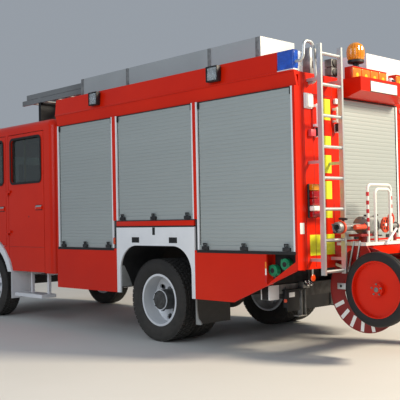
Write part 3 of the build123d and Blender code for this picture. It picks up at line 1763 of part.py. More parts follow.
# Trolley wheels: dished discs on the stub axles, with solid tyres
rim_r = trolley_rim_d / 2
half_w = trolley_tyre_w / 2
disc_profile = [
    # outboard from the wheel's middle plane, radius
    (-half_w, rim_r),
    (-half_w, rim_r - 14),
    (-14, rim_r - 14),
    (-24, 60),
    (-24, 40),
    (half_w, 40),
    (half_w, 62),
    (-12, 62),
    (-2, rim_r - 26),
    (half_w, rim_r - 14),
    (half_w, rim_r),
]
trolley_tyre_points = [
    (-half_w, rim_r),
    (-half_w, trolley_wheel_d / 2 - 8),
    (-half_w + 8, trolley_wheel_d / 2),
    (half_w - 8, trolley_wheel_d / 2),
    (half_w, trolley_wheel_d / 2 - 8),
    (half_w, rim_r),
]
for side_name, side in sides:
    with BuildPart() as reel_wheel:
        turned(trolley_x, trolley_wheel_y, side, disc_profile, trolley_axle_z)
        across(
            trolley_x,
            (side * (trolley_wheel_y - 30), side * (trolley_wheel_y + 36)),
            trolley_axle_z,
            41,
        )
        across(
            trolley_x,
            (side * (trolley_wheel_y - 31), side * (trolley_wheel_y + 20 + running_gap)),
            trolley_axle_z,
            trolley_axle_d / 2 + running_gap,
            mode=Mode.SUBTRACT,
        )
    write(reel_wheel, f"reel_wheel_{side_name}")
    with BuildPart() as reel_tyre:
        turned(trolley_x, trolley_wheel_y, side, trolley_tyre_points, trolley_axle_z)
    write(reel_tyre, f"reel_tyre_{side_name}")
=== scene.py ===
# %% [markdown]
# A municipal fire engine, seen from the rear left. The imported CAD model gives every panel, wheel
# and joint its place, in metres, with X forward, Y to the vehicle's left and Z up. This lesson
# dresses it: first the finishes, then the small pieces that a sheet metal shop or a lamp maker
# would add. Lengths along the vehicle are measured forward from the body's rear face.
# %% Load the frame and find the body's rear face
from math import cos, pi, radians, sin

import bmesh
import bpy
from mathutils import Matrix, Quaternion, Vector


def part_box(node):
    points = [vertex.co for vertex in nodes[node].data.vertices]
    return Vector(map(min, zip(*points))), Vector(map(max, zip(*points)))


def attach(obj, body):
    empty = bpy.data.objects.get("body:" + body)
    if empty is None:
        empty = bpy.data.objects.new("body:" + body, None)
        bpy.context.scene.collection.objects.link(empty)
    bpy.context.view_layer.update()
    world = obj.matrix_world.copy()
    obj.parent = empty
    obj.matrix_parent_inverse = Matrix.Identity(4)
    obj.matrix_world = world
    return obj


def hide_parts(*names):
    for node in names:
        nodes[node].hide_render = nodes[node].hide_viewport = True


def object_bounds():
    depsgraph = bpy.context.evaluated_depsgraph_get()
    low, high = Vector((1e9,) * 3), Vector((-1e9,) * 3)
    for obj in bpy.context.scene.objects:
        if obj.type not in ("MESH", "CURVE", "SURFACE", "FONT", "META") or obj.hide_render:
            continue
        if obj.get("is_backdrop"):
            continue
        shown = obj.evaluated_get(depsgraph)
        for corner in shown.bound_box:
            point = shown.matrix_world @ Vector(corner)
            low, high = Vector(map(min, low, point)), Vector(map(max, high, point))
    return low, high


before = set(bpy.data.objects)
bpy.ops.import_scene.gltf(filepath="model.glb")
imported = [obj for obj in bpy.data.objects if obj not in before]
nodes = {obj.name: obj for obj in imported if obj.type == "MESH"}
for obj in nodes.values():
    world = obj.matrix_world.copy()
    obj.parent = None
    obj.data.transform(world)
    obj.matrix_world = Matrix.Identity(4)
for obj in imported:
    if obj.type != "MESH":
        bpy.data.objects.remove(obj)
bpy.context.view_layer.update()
rear_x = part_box("body_rear_wall")[0].x
print("nodes", len(nodes), "rear face at", round(rear_x, 4))

# %% [markdown]
# The camera stands where the photographer stood, about ten metres from the rear corner and at
# chest height. Its lens is a short telephoto. The picture leans by a degree, as a picture held
# by hand does, so the camera is rolled by the same angle about its own line of sight.
# %% Camera
camera_place = Vector((-8.039, 7.085, 1.395))
look_yaw = radians(43.62)
look_rise = radians(1.346)
look_roll = radians(-1.128)
lens_mm = 71.13
sensor_mm = 36.0

sight = Vector((cos(look_yaw) * cos(look_rise), -sin(look_yaw) * cos(look_rise), sin(look_rise)))
camera_data = bpy.data.cameras.new("camera")
camera_data.lens = lens_mm
camera_data.sensor_width = sensor_mm
camera = bpy.data.objects.new("camera", camera_data)
camera.location = camera_place
camera.rotation_mode = "QUATERNION"
camera.rotation_quaternion = sight.to_track_quat("-Z", "Y") @ Quaternion((0, 0, 1), look_roll)
bpy.context.scene.collection.objects.link(camera)
bpy.context.scene.camera = camera
bpy.context.scene.view_settings.view_transform = "Standard"
print("camera at", tuple(camera_place))

# %% [markdown]
# A finish is a small graph of nodes. One function adds a node, sets it and links it, so that the
# graph of each finish can be read from top to bottom. Colours are written as the hex values that
# a paint card gives, which are sRGB, and shaders want linear light, so one function turns them.
# %% A node and a colour
def add(tree, kind, sockets=None, **settings):
    """Adds a shader node, sets its properties, and fills or links its sockets."""
    made = tree.nodes.new("ShaderNode" + kind)
    for name, value in settings.items():
        setattr(made, name, value)
    for socket, value in (sockets or {}).items():
        if isinstance(value, bpy.types.NodeSocket):
            tree.links.new(value, made.inputs[socket])
        else:
            made.inputs[socket].default_value = value
    return made


def paint_card(code):
    """Linear colour of an sRGB hex code."""
    channels = [int(code[i:i + 2], 16) / 255 for i in (1, 3, 5)]
    linear = [c / 12.92 if c <= 0.04045 else ((c + 0.055) / 1.055) ** 2.4 for c in channels]
    return (*linear, 1.0)


# %% [markdown]
# Most surfaces of a vehicle share one recipe. Two near tones lie in soft patches, the gloss
# changes a little from place to place, a fine relief breaks the reflections, and road dust
# settles towards the ground. What differs from finish to finish is the size of each of these.
# Sizes are real millimetres. The relief of sprayed paint, its orange peel, is about 3 mm across,
# and is drawn ten times as coarse, because at this distance nothing finer shows. Where one
# panel carries two tones, the finish can change its tone past an edge along an axis. On the
# trolley's frame the second tone is a darker red; on the ladder box it is black, painted shade.
# %% A finish
dust_tone = "#6E685E"
dust_top = 1.25


def finish(name, main, other, patch_mm, gloss, relief_mm, relief_depth_mm, dust=0.0,
           stretch=(1.0, 1.0, 1.0), beyond=None, **shader):
    """A finish with two tones in patches, a range of roughness, a fine relief and some dust.

    beyond = (axis, edge, the place just inside it, the tone on the edge's far side)
    """
    material = bpy.data.materials.new(name)
    material.use_nodes = True
    tree = material.node_tree
    tree.nodes.clear()
    place = add(tree, "TexCoord").outputs["Object"]
    drawn = add(tree, "Mapping", {"Vector": place, "Scale": stretch}).outputs["Vector"]
    patches = add(tree, "TexNoise", {"Vector": drawn, "Scale": 1000 / patch_mm, "Detail": 5.0}).outputs[0]
    spread = add(tree, "MapRange", {"Value": patches, "From Min": 0.35, "From Max": 0.65}).outputs[0]
    tone = add(tree, "Mix", {0: spread, 6: paint_card(main), 7: paint_card(other)}, data_type="RGBA")
    colour = tone.outputs[2]
    if beyond:
        axis, edge, inside, far_tone = beyond
        level = add(tree, "SeparateXYZ", {"Vector": place}).outputs[axis]
        kept = add(tree, "MapRange", {"Value": level, "From Min": edge, "From Max": inside}).outputs[0]
        tones = {0: kept, 6: paint_card(far_tone), 7: colour}
        colour = add(tree, "Mix", tones, data_type="RGBA").outputs[2]
    rough = add(tree, "MapRange", {"Value": patches, "To Min": gloss[0], "To Max": gloss[1]}).outputs[0]
    if dust:
        height = add(tree, "SeparateXYZ", {"Vector": place}).outputs["Z"]
        low = add(tree, "MapRange", {"Value": height, "From Min": dust_top, "From Max": 0.1}).outputs[0]
        specks = add(tree, "TexNoise", {"Vector": place, "Scale": 9.0, "Detail": 8.0, "Roughness": 0.7})
        share = add(tree, "Math", {0: low, 1: specks.outputs[0]}, operation="MULTIPLY").outputs[0]
        film = add(tree, "Math", {0: share, 1: dust * 2}, operation="MULTIPLY", use_clamp=True).outputs[0]
        tones = {0: film, 6: colour, 7: paint_card(dust_tone)}
        colour = add(tree, "Mix", tones, data_type="RGBA").outputs[2]
        rough = add(tree, "Mix", {0: film, 2: rough, 3: 0.9}).outputs[0]
    relief = add(tree, "TexNoise", {"Vector": drawn, "Scale": 1000 / relief_mm, "Detail": 3.0}).outputs[0]
    bump = add(tree, "Bump", {"Height": relief, "Distance": relief_depth_mm / 1000})
    sockets = {"Base Color": colour, "Roughness": rough, "Normal": bump.outputs[0]}
    sockets.update({key.replace("_", " "): value for key, value in shader.items()})
    lit = add(tree, "BsdfPrincipled", sockets)
    add(tree, "OutputMaterial", {"Surface": lit.outputs[0]})
    print("finish", name)
    return material


# %% [markdown]
# The paint is a two-pack lacquer, sprayed and baked: a pigment layer under a clear, glossy top.
# The eye sees a deep, even colour with a sharp highlight over a soft one, which the shader's
# coat gives. The reel's drum is painted a darker red, which is painted shade for its shaded
# flanks. The foot of its frame takes the same darker red. White lacquer
# on the mudguards and arch panels yellows a little and shows dust sooner than red does.
# %% Lacquers
red_lacquer = finish("red lacquer", "#DC2606", "#D01E04", 900, (0.24, 0.36), 30, 0.05, 0.04,
                     Coat_Weight=0.1, Coat_Roughness=0.12, Specular_IOR_Level=0.2)
# On the reel's drum and its flange rims this darker red is painted shade; on the seams it is their own dark
# joint colour.
dark_red_with_painted_shade = finish("dark red, painted shade on the drum", "#8E0B06", "#780A06", 300, (0.3, 0.5), 25, 0.1, 0.08)
white_lacquer = finish("white lacquer", "#F0F1F2", "#E4E6E8", 500, (0.25, 0.4), 30, 0.06, 0.16,
                       Coat_Weight=0.3)
silver_lacquer = finish("silver lacquer on wheels", "#E8EAEC", "#DADDE0", 300, (0.3, 0.42), 18, 0.12, 0.06,
                        Metallic=0.1)
trolley_lacquer = finish("white lacquer on a dark red frame", "#ECECE7", "#DEDDD5", 400, (0.25, 0.4), 30,
                         0.06, beyond=("Z", 1.098, 1.099, "#8E0B06"), Coat_Weight=0.3)

# %% [markdown]
# Anodised aluminium is etched before it goes into the bath, so its sheen is satin and it has no
# sharp reflection. The shutters' slats were drawn through a die, and their faint lines run
# along them, so the pattern is stretched in that direction. The ladders are mill finish, a
# little brighter and more uneven. The one on the roof is given a darker grey, which is painted
# shade, because its side lies in shade. The foremost bracket of its box, over the cab, is
# painted black, which is painted shade too.
# %% Bare metals
shutter_aluminium = finish("satin anodised aluminium", "#B1B8B6", "#A8AFAD", 900, (0.42, 0.52), 14, 0.12,
                           stretch=(0.06, 0.06, 1.0), Metallic=0.45)
ladder_aluminium = finish("mill finish aluminium", "#CBCECE", "#BFC3C3", 700, (0.32, 0.46), 10, 0.12,
                          Metallic=0.8)
# Past X 1.7 the ladder box turns near black: painted shade over the cab.
ladder_box_sheet_shaded_front = finish("mill finish sheet, front painted black as shade", "#CBCECE", "#BFC3C3", 700, (0.32, 0.46), 10,
                          0.12, beyond=("X", 1.700, 1.699, "#222426"), Metallic=0.8)
# The roof ladder's darker grey is painted shade for its shaded side.
shade_darkened_aluminium = finish("aluminium darkened as painted shade", "#8A8D8E", "#7C7F80", 700, (0.42, 0.56), 10, 0.12,
                             Metallic=0.6)
zinc_steel = finish("zinc plated steel", "#9A9C9A", "#77797A", 60, (0.4, 0.65), 12, 0.2, 0.3, Metallic=0.7)
chrome = finish("chromed brass", "#DADCDC", "#C5C9CB", 80, (0.08, 0.18), 20, 0.05, Metallic=1.0)
black_steel = finish("black chassis lacquer", "#17181A", "#26262A", 150, (0.45, 0.7), 20, 0.3, 0.5)
dark_steel = finish("worn steel", "#55585A", "#3C3E40", 70, (0.45, 0.7), 15, 0.3, 0.35, Metallic=0.6)

# %% [markdown]
# Rubber is carbon black in a dull, slightly rough skin that dust clings to. Moulded black
# plastic has a fine spark-eroded grain, drawn coarser here than its real half millimetre.
# %% Rubber and plastics
tyre_rubber = finish("tyre rubber", "#131314", "#1E1D1D", 90, (0.7, 0.9), 8, 0.5, 0.2)
seal_rubber = finish("rubber seal", "#111213", "#1D1D1E", 60, (0.6, 0.8), 8, 0.3)
flap_rubber = finish("grey rubber flap", "#A6A8A6", "#8E908E", 160, (0.6, 0.8), 10, 0.4, 0.35)
black_plastic = finish("grained black plastic", "#16171A", "#232426", 90, (0.45, 0.6), 6, 0.25, 0.15)
green_plastic = finish("green cap plastic", "#158A5C", "#0E6E48", 60, (0.3, 0.5), 9, 0.3)
cream_plastic = finish("cream plastic", "#D8D2B4", "#C2BB98", 60, (0.35, 0.5), 9, 0.3)
orange_plastic = finish("orange plastic", "#E2502A", "#C43E1C", 60, (0.35, 0.5), 9, 0.3)
pale_red_plastic = finish("pale red plastic", "#E2525C", "#D0444E", 60, (0.35, 0.5), 9, 0.3)
yellow_lacquer = finish("yellow lacquer", "#F2CC20", "#E0B414", 90, (0.3, 0.5), 12, 0.1)

# %% [markdown]
# Lamp lenses are dyed acrylic or polycarbonate over a bright reflector. Light goes in, comes
# back out and takes the dye's colour, so a lens looks lit from within. A share of transmission
# over a bright body gives that without a lamp inside. Reflective film is thousands of glass
# beads under a clear skin, and it looks like an even, bright colour with a soft sheen.
# %% Lenses, glass and film
amber_lens = finish("amber polycarbonate", "#FFAA10", "#F79400", 60, (0.1, 0.2), 16, 0.5,
                    Transmission_Weight=0.35, IOR=1.58, Coat_Weight=0.6)
cell_skin = finish("orange lamp skin", "#F2801A", "#E87412", 60, (0.15, 0.25), 16, 0.4, Coat_Weight=0.5)
bulb_glow = finish("yellow bulb glass", "#FFD028", "#FFC010", 60, (0.1, 0.2), 16, 0.4, Coat_Weight=0.6)
orange_lens = finish("orange polycarbonate", "#F2540A", "#E24A05", 60, (0.15, 0.25), 16, 0.5,
                     Transmission_Weight=0.3, IOR=1.58, Coat_Weight=0.6)
red_lens = finish("red acrylic lens", "#C40A12", "#A8060E", 60, (0.1, 0.2), 16, 0.5,
                  Transmission_Weight=0.3, IOR=1.49, Coat_Weight=0.6)
blue_lens = finish("blue polycarbonate", "#1A66E6", "#1254C8", 60, (0.1, 0.2), 16, 0.5,
                   Transmission_Weight=0.35, IOR=1.58, Coat_Weight=0.6)
clear_lens = finish("clear lamp glass", "#E6ECEE", "#D5DDE0", 60, (0.05, 0.12), 16, 0.6,
                    Transmission_Weight=0.75, IOR=1.5)
window_glass = finish("tinted safety glass", "#7E8A84", "#77837D", 900, (0.03, 0.06), 120, 0.05,
                      Specular_IOR_Level=0.15, Transmission_Weight=0.9, IOR=1.52)
hivis_film = finish("fluorescent film", "#E4E52A", "#D6D81E", 90, (0.35, 0.45), 6, 0.1, Coat_Weight=0.3)
white_film = finish("white film", "#F2F2EE", "#E6E6E0", 120, (0.3, 0.45), 8, 0.1, Coat_Weight=0.3)
orange_film = finish("orange film", "#F08A1C", "#E07A10", 90, (0.3, 0.45), 8, 0.1, Coat_Weight=0.3)
red_film = finish("red film", "#C8141C", "#B01018", 90, (0.3, 0.45), 8, 0.1, Coat_Weight=0.3)
lamp_reflector = finish("vapour coated reflector", "#E8E9EA", "#CFD2D4", 40, (0.15, 0.3), 12, 0.4,
                        Metallic=1.0)

# %% [markdown]
# Each node of the model gets the finish of the real panel. A table keeps that in one place.
# %% Dress the model's own nodes
worn_by = [
    (red_lacquer, "body_partitions body_rear_wall body_roof cab_floor_and_back cab_front cab_roof "
                  "cab_side_frames crew_door_left crew_door_right front_door_left front_door_right "
                  "lower_side_panels plate_housing"),
    (white_lacquer, "arch_panels front_bumper front_mudguards shutter_guides roof_locker roof_locker_lid"),
    (black_plastic, "arch_liners dashboard grille mirrors"),
    (black_steel, "axles chassis_frame knuckle_left knuckle_right"),
    (dark_steel, "engine_and_shaft body_floor underrun_and_coupling"),
    (ladder_aluminium, "access_ladder mast_tube"),
    (ladder_box_sheet_shaded_front, "ladder_box"),
    (shutter_aluminium, "roller_shutters"),
    (window_glass, "crew_door_glass_left crew_door_glass_right front_door_glass_left "
                   "front_door_glass_right windscreen"),
    (silver_lacquer, "front_rim_left front_rim_right rear_rims_left rear_rims_right"),
    (tyre_rubber, "front_tyre_left front_tyre_right rear_tyres_left rear_tyres_right "
                  "reel_tyre_left reel_tyre_right"),
    (green_plastic, "inlet_caps"),
    # painted shade: the drum's darker red
    (dark_red_with_painted_shade, "reel_drum"),
    (red_lacquer, "reel_wheel_left reel_wheel_right"),
    (trolley_lacquer, "reel_frame"),
    (zinc_steel, "reel_equipment mast_head"),
    # painted shade: the roof ladder's darker grey
    (shade_darkened_aluminium, "extension_ladder"),
    (black_plastic, "cab_seats lamps"),
    (amber_lens, "warning_lamps"),
]


def wear(piece, material):
    """Gives every slot of a piece one finish."""
    piece.data.materials.clear()
    piece.data.materials.append(material)


for material, names in worn_by:
    for name in names.split():
        wear(nodes[name], material)
bare = [name for name in nodes if not any(name in names.split() for _, names in worn_by)]
print("nodes without a finish", bare)

# %% [markdown]
# New pieces are built in bmesh, Blender's editing mesh, from a few shapes that a workshop would
# know: a block with eased edges, a round rod, and a turned part, which is a profile spun about
# its axis. One more function closes a piece: it merges doubled points, turns every face
# outwards, shades it smooth with sharp folds kept, gives it its finish and hangs it on a body.
# Blocks and rods that stand square to the vehicle come from tables of stations and heights.
# %% Blocks and rods
sides = (("left", 1), ("right", -1))


def at(station):
    """X of a place along the vehicle, in metres forward from the body's rear face."""
    return rear_x + station


def eased(mesh, parts, width, steps=2, affect="EDGES"):
    """Rounds edges, or the corners of a flat plate."""
    bmesh.ops.bevel(mesh, geom=parts, offset=width, offset_type="OFFSET", segments=steps, profile=0.5,
                    affect=affect, clamp_overlap=True, material=-1)


def block(mesh, low, high, ease=0.003, turn=None, steps=2):
    """A block between two corners with its edges eased, turned about its middle if asked."""
    low, high = Vector(low), Vector(high)
    size = Vector(abs(value) for value in high - low)
    place = Matrix.Translation((low + high) / 2) @ (turn or Matrix.Identity(4))
    corners = bmesh.ops.create_cube(mesh, size=1.0, matrix=place @ Matrix.Diagonal((*size, 1.0)))["verts"]
    edges = list({edge for corner in corners for edge in corner.link_edges})
    eased(mesh, edges, min(ease, min(size) * 0.45), steps)


def slabs(mesh, rows, ease=0.003, steps=2):
    """Blocks from rows of rear and front station, right and left, foot and top, and an ease if it differs."""
    for rear, front, right, left, foot, top, *own in rows:
        block(mesh, (at(rear), right, foot), (at(front), left, top), own[0] if own else ease, steps=steps)


def rod(mesh, start, end, radius, sides=20, end_radius=None, ease=0.0):
    """A round rod, or a cone, between two points."""
    start, end = Vector(start), Vector(end)
    line = end - start
    place = Matrix.Translation((start + end) / 2) @ line.to_track_quat("Z", "Y").to_matrix().to_4x4()
    made = bmesh.ops.create_cone(mesh, cap_ends=True, cap_tris=False, segments=sides, radius1=radius,
                                 radius2=radius if end_radius is None else end_radius,
                                 depth=line.length, matrix=place)["verts"]
    if ease:
        rims = [edge for edge in {e for v in made for e in v.link_edges}
                if any(len(face.verts) > 4 for face in edge.link_faces)]
        eased(mesh, rims, ease)


def rods(mesh, rows):
    """Rods from rows of the station, left and height of each end, then radius, sides and ease."""
    for *ends, radius, sides, ease in rows:
        rod(mesh, (at(ends[0]), *ends[1:3]), (at(ends[3]), *ends[4:]), radius, sides, ease=ease)


# %% Turned parts and rings of places
def turned(mesh, centre, axis, profile, steps=48):
    """Spins a profile of (place along the axis, radius) about an axis."""
    axis, centre = Vector(axis).normalized(), Vector(centre)
    out = axis.orthogonal().normalized()
    points = [mesh.verts.new(centre + axis * along + out * radius) for along, radius in profile]
    edges = [mesh.edges.new(pair) for pair in zip(points, points[1:])]
    bmesh.ops.spin(mesh, geom=points + edges, cent=centre, axis=axis, angle=2 * pi, steps=steps,
                   use_merge=True, use_duplicate=False)


def round_places(count, radius, start=0.0):
    """Places evenly round a circle: the angle, then how far along and up."""
    for number in range(count):
        angle = 2 * pi * number / count + start
        yield angle, radius * cos(angle), radius * sin(angle)


# %% Join meshes, close a piece and hang it
def pour(source, mesh):
    """Adds all of one mesh to another and frees it."""
    carrier = bpy.data.meshes.new("carrier")
    source.to_mesh(carrier)
    source.free()
    mesh.from_mesh(carrier)
    bpy.data.meshes.remove(carrier)


def meshes(count):
    """As many empty meshes."""
    return [bmesh.new() for _ in range(count)]


def shown(name, mesh, material, slot, body="vehicle", fold=32, replaces=(), pair=False):
    """Closes a mesh as a piece that rides on a body, with its mirror image first where it is a pair."""
    if pair:
        bmesh.ops.mirror(mesh, geom=mesh.verts[:] + mesh.edges[:] + mesh.faces[:], axis="Y", merge_dist=1e-6)
    bmesh.ops.remove_doubles(mesh, verts=mesh.verts, dist=1e-6)
    bmesh.ops.recalc_face_normals(mesh, faces=mesh.faces)
    data = bpy.data.meshes.new(name)
    mesh.to_mesh(data)
    mesh.free()
    data.polygons.foreach_set("use_smooth", [True] * len(data.polygons))
    data.set_sharp_from_angle(angle=radians(fold))
    thing = bpy.data.objects.new(name, data)
    bpy.context.scene.collection.objects.link(thing)
    wear(thing, material)
    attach(thing, body)
    if replaces:
        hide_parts(*replaces)
    print(name, len(data.polygons), "faces")
    return thing


def slab_piece(name, material, slot, rows, ease=0.003, steps=2, **hang):
    """A piece that is made of slabs alone."""
    mesh = bmesh.new()
    slabs(mesh, rows, ease, steps)
    shown(name, mesh, material, slot, **hang)


# %% [markdown]
# A lorry's tyre has a carcass that bulges between rim and tread, and a tread of blocks in rows,
# cut apart by grooves, with the shoulder blocks running down the side. The carcass is turned in
# one go. The blocks are laid round it, each row half a block further on than the row beside it,
# as the real pattern does for quiet running. One tyre is built and copied to all six places.
# %% Tyre sizes and outline
axle_z = 0.4725
tread_radius = 0.4721
groove_radius = 0.4615
blocks_round = 54
block_rows = [
    # outboard from the middle, half width, lead in half blocks
    (-0.098, 0.0165, 0), (-0.0475, 0.0185, 1), (0.0, 0.0175, 0), (0.0475, 0.0185, 1), (0.098, 0.0165, 0),
]
half_carcass = [
    # outboard, radius, from the bead to the middle of the tread
    (0.0955, 0.2865), (0.0955, 0.2990), (0.1055, 0.3005), (0.1120, 0.3090), (0.1175, 0.3130),
    (0.1185, 0.3190), (0.1268, 0.3330), (0.1330, 0.3560), (0.1348, 0.3800), (0.1330, 0.4050),
    (0.1290, 0.4220), (0.1300, 0.4260), (0.1245, 0.4380), (0.1190, 0.4500), (0.1130, 0.4570),
    (0.0900, groove_radius - 0.001), (0.0, groove_radius),
]


def whole_outline(half):
    """Closes half a tyre's outline, given from the bead to the middle of the tread."""
    return half + [(-along, radius) for along, radius in half[-2::-1]] + half[:1]


# %% One tyre, copied to six places
one_tyre = bmesh.new()
turned(one_tyre, (0, 0, 0), (0, 1, 0), whole_outline(half_carcass), steps=72)
block_length = 2 * pi * tread_radius / blocks_round
for row, half_width, lead in block_rows:
    for number in range(blocks_round):
        turn = Matrix.Rotation(2 * pi * (number + lead / 2) / blocks_round, 4, "Y")
        middle = turn @ Vector((0, row, tread_radius - 0.008))
        size = Vector((block_length * 0.42, half_width, 0.0075))
        block(one_tyre, middle - size, middle + size, ease=0.002, turn=turn, steps=1)
front_x = sum(corner.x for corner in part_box("front_tyre_left")) / 2
rear_axle_x = sum(corner.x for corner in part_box("rear_tyres_left")) / 2
front_y, outer_y, inner_y = 1.025, 1.077, 0.772
for name, x, reaches, body in (("front_tyre", front_x, (front_y,), "front_wheel"),
                               ("rear_tyres", rear_axle_x, (outer_y, inner_y), "rear_wheels")):
    for side_name, side in sides:
        pair = bmesh.new()
        for y in reaches:
            again = one_tyre.copy()
            bmesh.ops.translate(again, vec=(x, side * y, axle_z), verts=again.verts)
            pour(again, pair)
        shown(f"{name}_treaded_{side_name}", pair, tyre_rubber, "tyre_rubber", f"{body}_{side_name}",
              replaces=(f"{name}_{side_name}",))
one_tyre.free()
print("tyres at", round(front_x, 3), round(rear_axle_x, 3))

# %% [markdown]
# Ten nuts hold each wheel. They are 32 mm across the flats, zinc plated and oily, with a
# washer face under them. The rear hub stands out through the dish of the outer rim, and its
# cover is dark with road grime and has its own ring of small bolts.
# %% A hexagon nut
def hex_nut(mesh, place, axis, across_flats, height):
    """A six-sided nut with a washer face, standing on a surface."""
    place, axis = Vector(place), Vector(axis)
    rod(mesh, place, place + axis * 0.004, across_flats * 0.62, sides=20)
    rod(mesh, place, place + axis * height, across_flats * 0.577, sides=6, ease=0.002)
    rod(mesh, place, place + axis * (height + 0.008), across_flats * 0.3, sides=12)


# %% Nuts, hub covers and caps
hub_cover_line = [
    # outboard, radius
    (0.945, 0.1155), (0.945, 0.122), (0.952, 0.1225), (0.955, 0.1165), (1.155, 0.1165), (1.1675, 0.108),
    (1.1675, 0.088), (1.172, 0.086), (1.172, 0.058), (1.180, 0.052), (1.184, 0.040), (1.184, 0.0),
]
hub_cap_line = [(1.1535, 0.0), (1.1535, 0.066), (1.1565, 0.070), (1.1585, 0.066), (1.1588, 0.0)]
for side_name, side in sides:
    outward = (0, side, 0)
    for body, x, face_y, circle in (("front_wheel", front_x, front_y + 0.0918, 0.146),
                                    ("rear_wheels", rear_axle_x, 0.9245 + 0.0138, 0.1405)):
        nuts = bmesh.new()
        for _, along, up in round_places(10, circle, pi / 10):
            hex_nut(nuts, (x + along, side * face_y, axle_z + up), outward, 0.032, 0.022)
        shown(f"{body}_nuts_{side_name}", nuts, zinc_steel, "grey_steel", f"{body}_{side_name}")
    cover, cap = meshes(2)
    turned(cover, (rear_axle_x, 0, axle_z), outward, hub_cover_line, steps=40)
    for _, along, up in round_places(8, 0.098):
        hex_nut(cover, (rear_axle_x + along, side * 1.1675, axle_z + up), outward, 0.017, 0.009)
    shown(f"rear_hub_cover_{side_name}", cover, dark_steel, "black_steel", f"rear_wheels_{side_name}")
    turned(cap, (front_x, 0, axle_z), outward, hub_cap_line, steps=32)
    shown(f"front_hub_cap_{side_name}", cap, dark_steel, "black_steel", f"front_wheel_{side_name}")

# %% [markdown]
# A roller shutter is a curtain of narrow slats, a little crowned and hinged in grooves, so a
# curtain is one outline drawn along the vehicle. Its end bar is worked by lift latches, a black
# hook on a black plate, three to a shutter. Black brush seals run down both guides and along
# the top, where the slats go in, and a rubber strip closes the sill. A taller black block at the
# top of each guide is painted shade, for the dark corner where the curtain goes in. These thin,
# dark lines are what makes the body's flat faces read as seven separate doors.
# %% Shutter sizes and outlines
bays = [
    # rear station, front station, floor height
    (0.030, 1.385, 1.060), (1.430, 2.800, 1.390), (2.860, 4.050, 1.060),
]
guide = 0.024
curtain_y = 1.219
shutter_top = 2.650
slat_pitch = 0.040
slat_rise = 0.0026
slat_form = [
    # share of the pitch, share of the rise
    (0.0, 0.0004), (0.06, 0.0004), (0.14, 0.80), (0.30, 0.96), (0.5, 1.0), (0.70, 0.96), (0.94, 0.75),
]


def outline_part(mesh, outline, low, high, along=False):
    """Extrudes (place, height) points from low to high. Along, place is X and the depth is Y."""
    ends = []
    for depth in (low, high):
        spots = [(place, depth, z) if along else (depth, place, z) for place, z in outline]
        ends.append([mesh.verts.new(spot) for spot in spots])
    for number in range(len(outline)):
        other = (number + 1) % len(outline)
        mesh.faces.new((ends[0][number], ends[0][other], ends[1][other], ends[1][number]))
    for end in ends:
        mesh.faces.new(end)


def slat_line(face, out, foot, top):
    """Outline of a curtain that stands on a face: slats with a groove at each joint."""
    count = int((top - foot) / slat_pitch)
    pitch = (top - foot) / count
    line = [(-0.002, foot)]
    for number in range(count):
        line += [(slat_rise * proud, foot + (number + share) * pitch) for share, proud in slat_form]
    return [(face + out * proud, z) for proud, z in line + [(0.0004, top), (-0.002, top)]]


# %% Curtains, latches and seals
latches, seals, slats = meshes(3)
for rear, front, floor_z in bays:
    low_s, high_s = rear + guide, front - guide
    outline_part(slats, slat_line(curtain_y, 1, floor_z + 0.047, shutter_top), at(low_s), at(high_s))
    for middle in (low_s + 0.09, (low_s + high_s) / 2, high_s - 0.09):
        slabs(latches, [(middle - 0.047, middle + 0.047, curtain_y + 0.007, curtain_y + 0.0305,
                         floor_z + 0.003, floor_z + 0.040)], 0.004)
        for tilt in (-1, 0, 1):
            foot = Vector((at(middle) + tilt * 0.016, curtain_y + 0.024, floor_z + 0.038))
            rod(latches, foot, foot + Vector((tilt * 0.006, 0.001, 0.030)), 0.0055, sides=10)
        rods(latches, [(middle - 0.026, curtain_y + 0.025, floor_z + 0.070,
                        middle + 0.026, curtain_y + 0.025, floor_z + 0.070, 0.006, 10, 0.002)])
    face = curtain_y + 0.0002
    for edge, inward in ((low_s, 1), (high_s, -1)):
        slabs(seals, [
            (edge, edge + inward * 0.009, face, curtain_y + 0.0052,
             floor_z + 0.05, shutter_top, 0.001),
            # This taller block is painted shade for the dark corner where the curtain goes in.
            (edge, edge + inward * 0.022, face, curtain_y + 0.0165,
             shutter_top - 0.075, shutter_top),
        ])
    slabs(seals, [(low_s, high_s, face, curtain_y + 0.010, shutter_top - 0.010, shutter_top, 0.002)])
    high_bay = floor_z > 1.2
    slabs(seals, [(rear - 0.008, front + 0.008, 1.2452, 1.2478, floor_z - (0.010 if high_bay else 0.030),
                   floor_z - 0.001, 0.001)])
    if high_bay:
        slabs(seals, [(rear + 0.004, front - 0.004, 1.2452, 1.2475, 1.306, 1.322, 0.001)])
shown("shutter_latches", latches, black_plastic, "black_plastic", pair=True)
shown("shutter_seals_and_corner_shade", seals, seal_rubber, "black_plastic", pair=True)
bmesh.ops.mirror(slats, geom=slats.verts[:] + slats.edges[:] + slats.faces[:], axis="Y", merge_dist=1e-6)
outline_part(slats, slat_line(at(0.008), -1, 1.197, 2.579), -0.492, 0.492, along=True)
shown("shutter_slats", slats, shutter_aluminium, "shutter_aluminium", fold=14)

